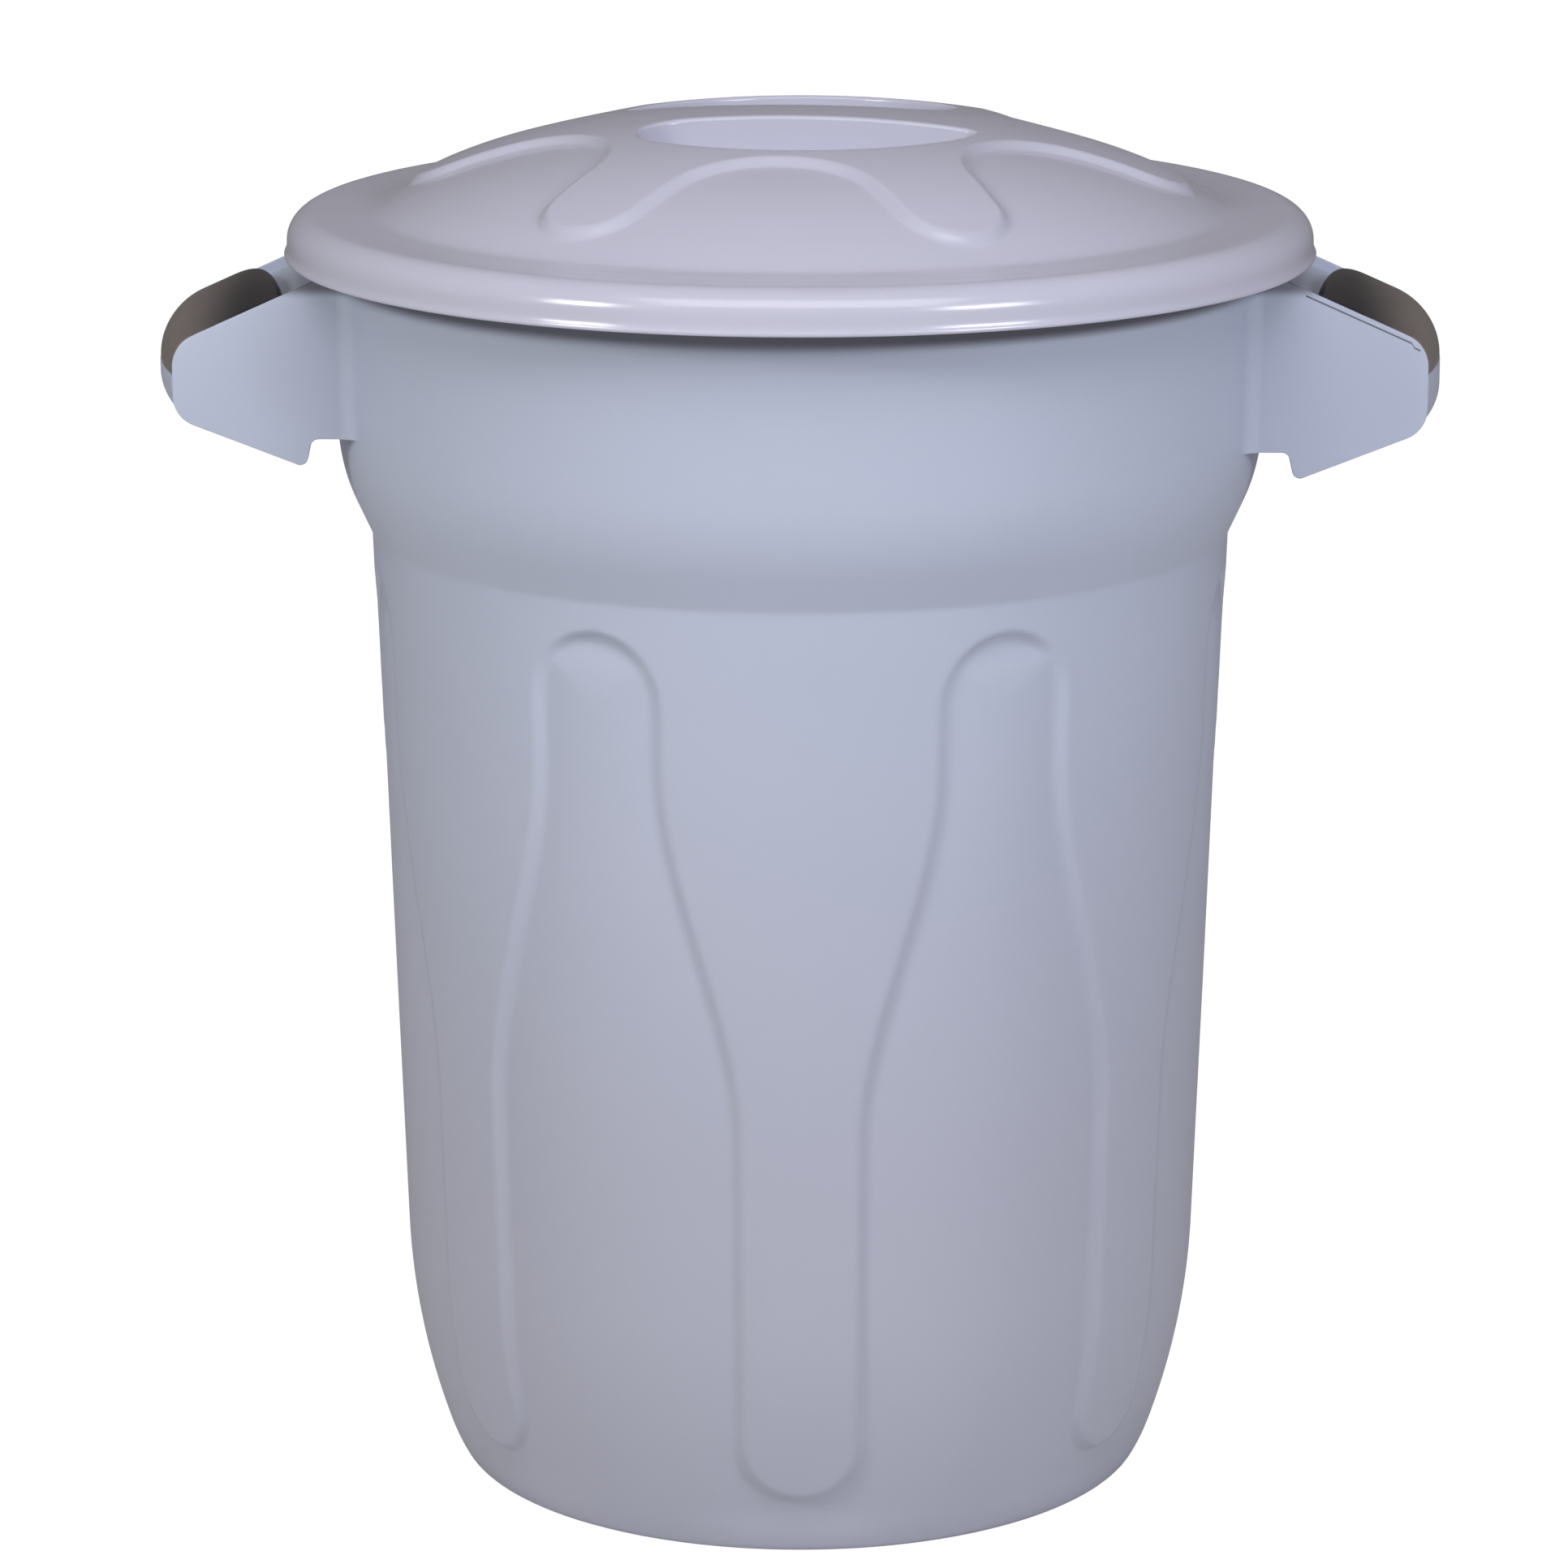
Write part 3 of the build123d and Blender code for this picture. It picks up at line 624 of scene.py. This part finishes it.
def star_rings():
    """Points on lines parallel to the star's outline, across its sloping wall."""
    wedge = 2 * math.pi / STAR_ARMS
    arm, scallop, normal_angle = star_tangent()
    normal = direction(normal_angle)
    back = math.atan2(-normal[1], -normal[0])
    middle = -(math.pi - wedge / 2)
    found = []
    for shift in np.linspace(1.6, -STAR_STEP - 1.6, 10):
        tip = [arm + (ARM_ARC + shift) * direction(a)
               for a in np.linspace(0, normal_angle, 20, endpoint=False)]
        start = arm + normal * (ARM_ARC + shift)
        end = scallop - normal * (SCALLOP_ARC - shift)
        line = [start + (end - start) * t for t in np.linspace(0, 1, 14, endpoint=False)]
        dip = [scallop + (SCALLOP_ARC - shift) * direction(a) for a in np.linspace(back, middle, 20)]
        half = np.array(tip + line + dip)
        both = np.vstack([half, half[1:-1] * np.array([1, -1])])
        for number in range(STAR_ARMS):
            found.append(turned_points(both, number * wedge + STAR_TURN))
    return np.vstack(found)


def patch_points(loops):
    """Points spread over the star's patch, clear of its rim and of the recesses."""
    rings = [np.zeros((1, 2))]
    for radius in np.arange(4, PATCH_R - 1.5, PATCH_RING_STEP):
        count = max(6, int(2 * math.pi * radius / PATCH_SPACING))
        angles = (np.arange(count) + 0.5 * (int(radius) % 2)) * 2 * math.pi / count
        rings.append(circle_points(radius, angles))
    spread = np.vstack(rings)
    wall = STAR_STEP / 2
    near_star = np.abs(star_distance(spread[:, 0], spread[:, 1]) + wall) < wall + 2.4
    spread = np.vstack([spread[~near_star], star_rings()])
    keep = np.hypot(spread[:, 0], spread[:, 1]) < PATCH_R - 1.2
    for loop in loops:
        keep &= ~inside_or_near(spread, loop, 1.6)
    return spread[keep]


def star_patch(drop):
    """The triangulated middle of the lid, lowered by drop and with the recesses grown by it."""
    circle = np.arange(LID_COLUMNS) * 2 * math.pi / LID_COLUMNS
    loops = [turned_points(recess_loop(drop + RECESS_EDGE_ARC), STAR_TURN + half_turn)
             for half_turn in (0, math.pi)]
    outlines = [circle_points(PATCH_R, circle)] + loops
    edges, start = [], 0
    for loop in outlines:
        count = len(loop)
        edges += [(start + i, start + (i + 1) % count) for i in range(count)]
        start += count
    flat = [Vector(spot) for spot in np.vstack(outlines + [patch_points(loops)])]
    found = delaunay_2d_cdt(flat, edges, [], 0, 1e-6, False)
    spots = np.array([(v.x, v.y) for v in found[0]])
    triangles = np.array(found[2])
    middles = spots[triangles].mean(1)
    good = np.hypot(middles[:, 0], middles[:, 1]) < PATCH_R
    for loop in loops:
        good &= ~inside(middles, loop)
    z = lid_top(spots[:, 0], spots[:, 1]) - drop
    return np.column_stack([spots, z]), triangles[good]


def lid_edge_rows():
    """Rows round the lid as (r, z), from the star's patch over the edge and skirt and back underneath.

    Where a row lies on the dome, its height is "top" or "under" and comes from the dome.
    """
    edge_centre = (LID_R - LID_EDGE_ARC, LID_RING_Z - LID_EDGE_ARC)
    lip_centre = (LID_R + LID_FLARE - SKIRT_LIP_ARC, SKIRT_Z + SKIRT_LIP_ARC)
    ring_start = DOME_EDGE_R + 12
    inner_r = LID_R - LID_SHELL
    rows = [(r, "top") for r in np.linspace(PATCH_R, ring_start, 14)]
    rows += straight((ring_start, LID_RING_Z), (LID_R - LID_EDGE_ARC, LID_RING_Z), 4)
    rows += round_arc(edge_centre, LID_EDGE_ARC, 90, 0, 14)[1:]
    rows += [(LID_R + 0.1, SKIRT_Z + 5.5), (LID_R + 0.4, SKIRT_Z + 3.6), (LID_R + 1.0, SKIRT_Z + 2.2)]
    rows += round_arc(lip_centre, SKIRT_LIP_ARC, 0, -180, 8)
    rows += [(inner_r + 0.1, SKIRT_Z + 4.5), (inner_r, LID_RING_Z - LID_EDGE_ARC)]
    rows += round_arc(edge_centre, LID_EDGE_ARC - LID_SHELL, 0, 90, 9)[1:]
    rows += [(r, "under") for r in np.linspace(ring_start, PATCH_R, 8)]
    return rows


def lid_shell(material):
    """The lid: a triangulated star patch with recesses, and rings for its edge and skirt, inside and out."""
    points, faces = [], []

    def add(new_points, new_faces):
        start = len(points)
        points.extend(map(tuple, new_points))
        faces.extend(tuple(start + index for index in face) for face in new_faces)

    for drop in (0.0, LID_SHELL):
        patch, triangles = star_patch(drop)
        upwards = drop == 0
        add(patch, triangles if upwards else triangles[:, ::-1])
        for half_turn in (0, math.pi):
            rows = recess_rows(drop, half_turn)
            count = len(rows[0])
            last = (len(rows) - 1) * count
            centre = rows[-1].mean(0)
            well = ring_faces(len(rows), count)
            well += [(last + i, last + (i + 1) % count, len(rows) * count) for i in range(count)]
            if not upwards:
                well = [face[::-1] for face in well]
            add(np.vstack(rows + [centre[None]]), well)

    circle = np.arange(LID_COLUMNS) * 2 * math.pi / LID_COLUMNS
    rows = lid_edge_rows()
    grid = []
    for r, z in rows:
        x, y = r * np.cos(circle), r * np.sin(circle)
        if isinstance(z, str):
            height = lid_top(x, y) - (LID_SHELL if z == "under" else 0)
        else:
            height = np.full_like(x, z)
        grid.append(np.column_stack([x, y, height]))
    add(np.vstack(grid), [face[::-1] for face in ring_faces(len(rows), LID_COLUMNS)])
    thing = mesh_object("lid_shell", points, faces, material, "lid", ["lid"])
    merge(thing, 0.00002)
    return thing


def inside(points, loop):
    """Which points lie inside a closed loop."""
    x, y = points[:, 0], points[:, 1]
    result = np.zeros(len(points), bool)
    after = np.roll(loop, -1, 0)
    for (x1, y1), (x2, y2) in zip(loop, after):
        crosses = (y1 > y) != (y2 > y)
        reach = np.where(y2 == y1, 0, (x2 - x1) * (y - y1) / (y2 - y1 if y2 != y1 else 1) + x1)
        result ^= crosses & (x < reach)
    return result


def inside_or_near(points, loop, margin):
    """Which points lie inside a closed loop or within the margin of its points."""
    near = np.zeros(len(points), bool)
    for spot in loop:
        near |= np.hypot(points[:, 0] - spot[0], points[:, 1] - spot[1]) < margin
    return near | inside(points, loop)


def recess_rows(drop, half_turn):
    """Loops of points down a recess: rounded edge, leaning wall, rounded foot and floor."""
    floor_z = LID_TOP_Z - RECESS_DEPTH - drop
    edge = RECESS_EDGE_ARC
    foot = RECESS_FOOT_ARC
    lean = RECESS_LEAN
    rows = []
    for share in np.linspace(0, 1, 7):
        angle = share * math.pi / 2
        rows.append((edge - edge * math.sin(angle), "edge", edge * (1 - math.cos(angle))))
    for share in (0.2, 0.4, 0.6, 0.8, 1.0):
        rows.append((-lean * share, "wall", share))
    for share in np.linspace(0, 1, 6)[1:]:
        angle = share * math.pi / 2
        rows.append((-lean - foot * (1 - math.cos(angle)), "foot", foot * math.sin(angle)))
    rows.append((-lean - foot - 3, "floor", 0))
    result = []
    for grow, kind, value in rows:
        loop = turned_points(recess_loop(drop + grow), STAR_TURN + half_turn)
        top = lid_top(loop[:, 0], loop[:, 1]) - drop
        if kind == "edge":
            z = top - value
        elif kind == "wall":
            z = (top - edge) + (floor_z + foot - top + edge) * value
        elif kind == "foot":
            z = np.full(len(loop), floor_z + foot - value)
        else:
            z = np.full(len(loop), floor_z)
        result.append(np.column_stack([loop, z]))
    return result


def merge(thing, distance):
    """Joins points within a distance in metres and makes the faces point outwards."""
    work = bmesh.new()
    work.from_mesh(thing.data)
    bmesh.ops.remove_doubles(work, verts=work.verts, dist=distance)
    bmesh.ops.recalc_face_normals(work, faces=work.faces)
    work.to_mesh(thing.data)
    work.free()


def edge_z(x):
    """Height of the side plates' sloping upper edges."""
    return HANDLE_TOP_Z - HANDLE_SLOPE * (x - HANDLE_TOP_X)


def rounded_outline(corners):
    """Closed outline through corner points, each with its rounding radius."""
    result = []
    count = len(corners)
    for index, (x, z, radius) in enumerate(corners):
        here = np.array([x, z])
        before = np.array(corners[index - 1][:2]) - here
        after = np.array(corners[(index + 1) % count][:2]) - here
        before = before / np.linalg.norm(before)
        after = after / np.linalg.norm(after)
        if radius == 0:
            result.append(here)
            continue
        half = math.acos(np.clip(before @ after, -1, 1)) / 2
        cut = radius / math.tan(half)
        centre = here + (before + after) / np.linalg.norm(before + after) * radius / math.sin(half)
        first, last = here + before * cut, here + after * cut
        a0 = math.atan2(*(first - centre)[::-1])
        a1 = math.atan2(*(last - centre)[::-1])
        sweep = (a1 - a0 + math.pi) % (2 * math.pi) - math.pi
        steps = max(3, int(abs(sweep) * radius / 1.2))
        for share in np.linspace(0, 1, steps + 1):
            angle = a0 + sweep * share
            result.append(centre + radius * direction(angle))
    return np.array(result)


def plate_outline(drop):
    """A side plate seen from the front, with its lower edge moved down by drop."""
    return rounded_outline([
        (HANDLE_ROOT_X, edge_z(HANDLE_ROOT_X), 0),
        (HANDLE_ROOT_X, NOTCH_Z - drop, 0),
        (NOTCH_X, NOTCH_Z - drop, 4.0),
        (HOOK_X - 4.0, HOOK_Z - drop, 4.0),
        (HOOK_X, HOOK_Z - drop, 2.0),
        (HANDLE_END_X, HANDLE_END_LOW_Z - drop - HANDLE_LOW_ARC, HANDLE_LOW_ARC),
        (HANDLE_END_X, edge_z(HANDLE_END_X), HANDLE_CORNER_ARC),
    ])


def rounded_plate(outline, low_y, high_y, rounding):
    """Closed plate between two Y values with its edges rounded, as points and faces."""
    before = np.roll(outline, 1, 0)
    after = np.roll(outline, -1, 0)
    along = after - before
    along = along / np.linalg.norm(along, axis=1)[:, None]
    normal = np.stack([along[:, 1], -along[:, 0]], -1)
    area = 0.5 * np.sum(outline[:, 0] * after[:, 1] - after[:, 0] * outline[:, 1])
    if area < 0:
        normal = -normal
    rows = []
    for share in np.linspace(0, 1, 5):
        angle = share * math.pi / 2
        rows.append((rounding * (1 - math.sin(angle)), low_y + rounding * (1 - math.cos(angle))))
    rows += [(inset, high_y + low_y - y) for inset, y in reversed(rows)]
    points = []
    for inset, y in rows:
        ring = outline - normal * inset
        points.append(np.column_stack([ring[:, 0], np.full(len(ring), y), ring[:, 1]]))
    return np.vstack(points), tube_faces(len(rows), len(outline))


def bow_radius():
    """Radius, seen from above, of the bowed end wall's outer face."""
    return (HANDLE_HALF ** 2 + END_BOW ** 2) / (2 * END_BOW)


def bow_centre():
    return HANDLE_END_X + END_BOW - bow_radius()


def swept_wall(outline, half_y, columns):
    """Closed section in (distance from the bow's axis, height), swept in plan between the side plates."""
    reach = math.asin(half_y / bow_radius())
    points = []
    for angle in np.linspace(-reach, reach, columns):
        x = bow_centre() + outline[:, 0] * math.cos(angle)
        y = outline[:, 0] * math.sin(angle)
        points.append(np.column_stack([x, y, outline[:, 1]]))
    return np.vstack(points), tube_faces(columns, len(outline))


def end_wall_outline(drop):
    """The end wall's section: the ledge that the grip ends on, the upright face and the curl under it."""
    outer = bow_radius()
    low = HANDLE_END_LOW_Z - drop
    curl = END_CURL_ARC
    angles = np.radians(np.linspace(0, END_CURL_ANGLE, 12))
    outside = [(outer - curl * (1 - math.cos(a)), low - curl * math.sin(a)) for a in angles]
    hollow = curl - SKIN
    inside_face = [(outer - curl + hollow * math.cos(a), low - hollow * math.sin(a)) for a in angles]
    seat = outer - GRIP_SEAT
    top_z = edge_z(bow_centre() + seat) - SKIN_DROP
    points = [(seat, top_z), (seat, GRIP_SEAT_Z), (outer - 0.8, GRIP_SEAT_Z)]
    points += [(outer - 0.2, GRIP_SEAT_Z - 0.3), (outer, GRIP_SEAT_Z - 1.0)]
    points += outside + inside_face[::-1]
    points += [(outer - SKIN, GRIP_SEAT_Z - SKIN), (seat - SKIN, GRIP_SEAT_Z - SKIN), (seat - SKIN, top_z)]
    return np.array(points)


def top_skin():
    """The handle's sloping top between the plates, from inside the tub's wall to the end wall."""
    wall_middle = COLLAR_TOP_R - WALL / 2
    seat = bow_radius() - GRIP_SEAT - SKIN / 2
    places = np.linspace(-HANDLE_HALF + PLATE / 2, HANDLE_HALF - PLATE / 2, 33)
    rows = []
    for y in places:
        near = math.sqrt(wall_middle ** 2 - y ** 2)
        far = bow_centre() + math.sqrt(seat ** 2 - y ** 2)
        near_z = edge_z(near) - SKIN_DROP
        far_z = edge_z(far) - SKIN_DROP
        rows.append([(near, y, near_z), (far, y, far_z), (far, y, far_z - SKIN), (near, y, near_z - SKIN)])
    return np.array(rows).reshape(-1, 3), tube_faces(len(rows), len(rows[0]))


def root_fillet(end, low_z, high_z):
    """Hollow rounding between a side plate's outer face and the tub's wall."""
    profile = np.array(outer_profile())
    rows = []
    for z in np.linspace(low_z, high_z, 24):
        wall_r = np.interp(z, profile[:, 1], profile[:, 0])
        centre_y = HANDLE_HALF + ROOT_FILLET
        centre_x = math.sqrt((wall_r + ROOT_FILLET) ** 2 - centre_y ** 2)
        stop = math.pi + math.atan2(centre_y, centre_x)
        row = [(centre_x + ROOT_FILLET * math.cos(a), end * (centre_y + ROOT_FILLET * math.sin(a)), z)
               for a in np.linspace(1.5 * math.pi, stop, 11)]
        row.append((HANDLE_ROOT_X + 0.8, end * (HANDLE_HALF - PLATE / 2), z))
        rows.append(row)
    return np.array(rows).reshape(-1, 3), tube_faces(len(rows), len(rows[0]))


def handle(name, side, drop, material):
    """One moulded handle: two rounded side plates, the top skin and the bowed end wall."""
    points, faces = [], []

    def add(part):
        start = sum(len(p) for p in points)
        points.append(part[0])
        faces.extend(tuple(start + index for index in face) for face in part[1])

    outline = plate_outline(drop)
    add(rounded_plate(outline, -HANDLE_HALF, -HANDLE_HALF + PLATE, 0.7))
    add(rounded_plate(outline, HANDLE_HALF - PLATE, HANDLE_HALF, 0.7))
    add(top_skin())
    for end in (-1, 1):
        add(root_fillet(end, NOTCH_Z - drop, COLLAR_TOP_Z + 1))
    add(swept_wall(end_wall_outline(drop), HANDLE_HALF - 0.4, 41))
    shape = np.vstack(points)
    shape[:, 0] *= side
    thing = mesh_object(name, shape, faces, material, "tub", ["tub"], math.radians(35))
    merge(thing, 0.000001)
    return thing


def grip_row(y):
    """Closed loop of the grip's section at one distance from the handle's middle."""
    reach = HANDLE_HALF - PLATE - GRIP_GAP
    crown = 1 - (y / reach) ** 2
    end_x = bow_centre() + math.sqrt((bow_radius() - GRIP_GAP) ** 2 - y ** 2)
    inner_x = GRIP_INNER_X + GRIP_SLANT * (y + reach) + GRIP_CURVE * (y + reach) ** 2
    lift = GRIP_LIFT * crown + HANDLE_SLOPE * (end_x - HANDLE_END_X)
    corner_arc = HANDLE_CORNER_ARC + (GRIP_MIDDLE_ARC - HANDLE_CORNER_ARC) * crown
    low = GRIP_SEAT_Z + GRIP_GAP
    skin = SKIN_DROP - GRIP_GAP
    seat_x = bow_centre() + math.sqrt((bow_radius() - GRIP_SEAT + GRIP_GAP) ** 2 - y ** 2)
    turn = math.pi / 2 - math.atan2(HANDLE_SLOPE, 1)
    centre = np.array([end_x - corner_arc, edge_z(end_x) + lift - corner_arc * math.tan(turn / 2)])
    shoulder = GRIP_SHOULDER + (GRIP_MIDDLE_SHOULDER - GRIP_SHOULDER) * crown
    start = np.array([inner_x, edge_z(inner_x) - skin])
    finish = np.array([inner_x + shoulder, edge_z(inner_x + shoulder) + lift])
    control = np.array([inner_x + 1, edge_z(inner_x + 1) + lift])
    rounding = [(1 - t) ** 2 * start + 2 * t * (1 - t) * control + t ** 2 * finish
                for t in np.linspace(0, 1, 14)]
    line_end = centre + corner_arc * direction(turn)
    line = [finish + (line_end - finish) * t for t in np.linspace(0, 1, 8)[1:-1]]
    corner = [centre + corner_arc * direction(a) for a in np.linspace(turn, 0, 18)]
    corner = [np.array([x, max(z, low + 0.8)]) for x, z in corner]
    foot = [np.array([end_x - 0.2, low + 0.3]), np.array([end_x - 0.8, low]), np.array([seat_x, low])]
    seat_top = edge_z(seat_x) - skin
    back_side = [np.array([seat_x, low + (seat_top - low) * t]) for t in (0.3, 0.6, 1.0)]
    unders = [seat_x + (inner_x - seat_x) * t for t in np.linspace(0, 1, 10)[1:-1]]
    under = [np.array([x, edge_z(x) - skin]) for x in unders]
    return np.array(rounding + line + corner + foot + back_side + under)


def grip(name, side, material):
    """One soft grip: a crowned pad closed at both ends, with two pegs through the handle's skin."""
    reach = HANDLE_HALF - PLATE - GRIP_GAP
    rows = []
    inner = reach - 1.0
    places = [-reach, -reach + 0.25] + list(np.linspace(-inner, inner, 45)) + [reach - 0.25, reach]
    for y in places:
        loop = grip_row(y)
        past_inner = abs(y) - inner
        if past_inner > 0:
            shrink = 1 - math.sqrt(max(0, 1 - min(past_inner, 1) ** 2))
            middle = np.array([loop[:, 0].mean(), loop[:, 1].mean()])
            away = loop - middle
            loop = loop - away / np.linalg.norm(away, axis=1)[:, None] * shrink * 0.9
        rows.append(np.column_stack([loop[:, 0], np.full(len(loop), y), loop[:, 1]]))
    points = np.vstack(rows)
    faces = tube_faces(len(rows), len(rows[0]))
    peg_top = edge_z(PEG_X) - SKIN_DROP / 2
    peg_low = edge_z(PEG_X) - SKIN_DROP - PEG_LENGTH
    levels = [(PEG_R - 0.8, peg_low), (PEG_R - 0.2, peg_low + 0.3), (PEG_R, peg_low + 1), (PEG_R, peg_top)]
    angles = np.arange(PEG_SIDES) * 2 * math.pi / PEG_SIDES
    for y in (-PEG_Y, PEG_Y):
        start = len(points)
        peg = [np.column_stack([circle_points(r, angles) + (PEG_X, y), np.full(PEG_SIDES, z)])
               for r, z in levels]
        points = np.vstack([points] + peg)
        peg_faces = tube_faces(len(levels), PEG_SIDES)
        faces += [tuple(start + index for index in face) for face in peg_faces]
    points[:, 0] *= side
    thing = mesh_object(name + "_pad", points, faces, material, "tub", [name], math.radians(40))
    merge(thing, 0.000001)
    return thing


def studio():
    """White floor and backdrop that stay out of the reflections, soft lights and a dim warm room."""
    floor_mesh = bpy.data.meshes.new("floor")
    size = 6.0
    corners = [(-size, -size, 0), (size, -size, 0), (size, size, 0), (-size, size, 0)]
    floor_mesh.from_pydata(corners, [], [(0, 1, 2, 3)])
    floor = bpy.data.objects.new("floor", floor_mesh)
    bpy.context.scene.collection.objects.link(floor)
    paper = Surface("floor_paper")
    seen = paper.node("ShaderNodeLightPath", {}, {}, "Is Camera Ray")
    paper.set(Base_Color=(0.8, 0.8, 0.8, 1), Roughness=0.9)
    glow = paper.node("ShaderNodeEmission", {}, {"Color": (1, 1, 1, 1), "Strength": 1.3})
    matt = Value(paper, paper.shader.outputs[0])
    lit = paper.node("ShaderNodeMixShader", {}, {0: seen * 0.75, 1: matt, 2: glow})
    clear = paper.node("ShaderNodeBsdfTransparent", {}, {})
    below = paper.node("ShaderNodeNewGeometry", {}, {}, "Backfacing")
    one_sided = paper.node("ShaderNodeMixShader", {}, {0: below, 1: lit, 2: clear})
    paper.put(paper.output.inputs["Surface"], one_sided)
    floor_mesh.materials.append(paper.material)

    world = bpy.data.worlds.new("room")
    bpy.context.scene.world = world
    world.use_nodes = True
    nodes, links = world.node_tree.nodes, world.node_tree.links
    path = nodes.new("ShaderNodeLightPath")
    dim = nodes["Background"]
    dim.inputs["Color"].default_value = (0.60, 0.56, 0.54, 1)
    dim.inputs["Strength"].default_value = 0.31
    white = nodes.new("ShaderNodeBackground")
    white.inputs["Color"].default_value = (1, 1, 1, 1)
    white.inputs["Strength"].default_value = 1.0
    choice = nodes.new("ShaderNodeMixShader")
    links.new(path.outputs["Is Camera Ray"], choice.inputs[0])
    links.new(dim.outputs[0], choice.inputs[1])
    links.new(white.outputs[0], choice.inputs[2])
    links.new(choice.outputs[0], nodes["World Output"].inputs["Surface"])

    softbox("left_softbox", (-1.8, -1.6, 1.6), 0.55, 0.55, 21, (1.0, 0.985, 0.92))
    softbox("right_softbox", (1.6, -1.9, 1.55), 0.8, 0.5, 22, (0.94, 0.95, 1.0))
    softbox("overhead", (0.0, -1.5, 2.4), 2.4, 1.2, 32, (0.97, 0.985, 1.0))


def softbox(name, place, width, height, power, tint):
    """Rectangular light aimed at the middle of the tub."""
    light = bpy.data.lights.new(name, "AREA")
    light.shape = "RECTANGLE"
    light.size = width
    light.size_y = height
    light.energy = power
    light.color = tint
    lamp = bpy.data.objects.new(name, light)
    lamp.location = place
    lamp.rotation_euler = (Vector((0, 0, 0.38)) - Vector(place)).to_track_quat("-Z", "Y").to_euler()
    bpy.context.scene.collection.objects.link(lamp)


def camera():
    """Camera at the photograph's distance, height and pitch. The picture is square."""
    distance = 3.2
    height = 1.164
    pitch = math.radians(14.04)
    focal_pixels = 7666.0
    picture = 1932.0
    axis_pixel = 986.0
    lens = bpy.data.cameras.new("camera")
    lens.sensor_width = 36.0
    lens.lens = focal_pixels / picture * lens.sensor_width
    lens.shift_x = -(axis_pixel - picture / 2) / picture
    lens.clip_end = 50
    eye = bpy.data.objects.new("camera", lens)
    eye.location = (0, -distance, height)
    eye.rotation_euler = (math.pi / 2 - pitch, 0, 0)
    bpy.context.scene.collection.objects.link(eye)
    bpy.context.scene.camera = eye


bpy.context.scene.view_settings.view_transform = "Standard"
camera()
studio()
grey = tub_plastic()
lilac = lid_plastic()
rubber = grip_rubber()
tub_shell(grey)
handle("handle_right", 1, RIGHT_PLATE_DROP, grey)
handle("handle_left", -1, 0.0, grey)
grip("grip_right", 1, rubber)
grip("grip_left", -1, rubber)
lid_shell(lilac)
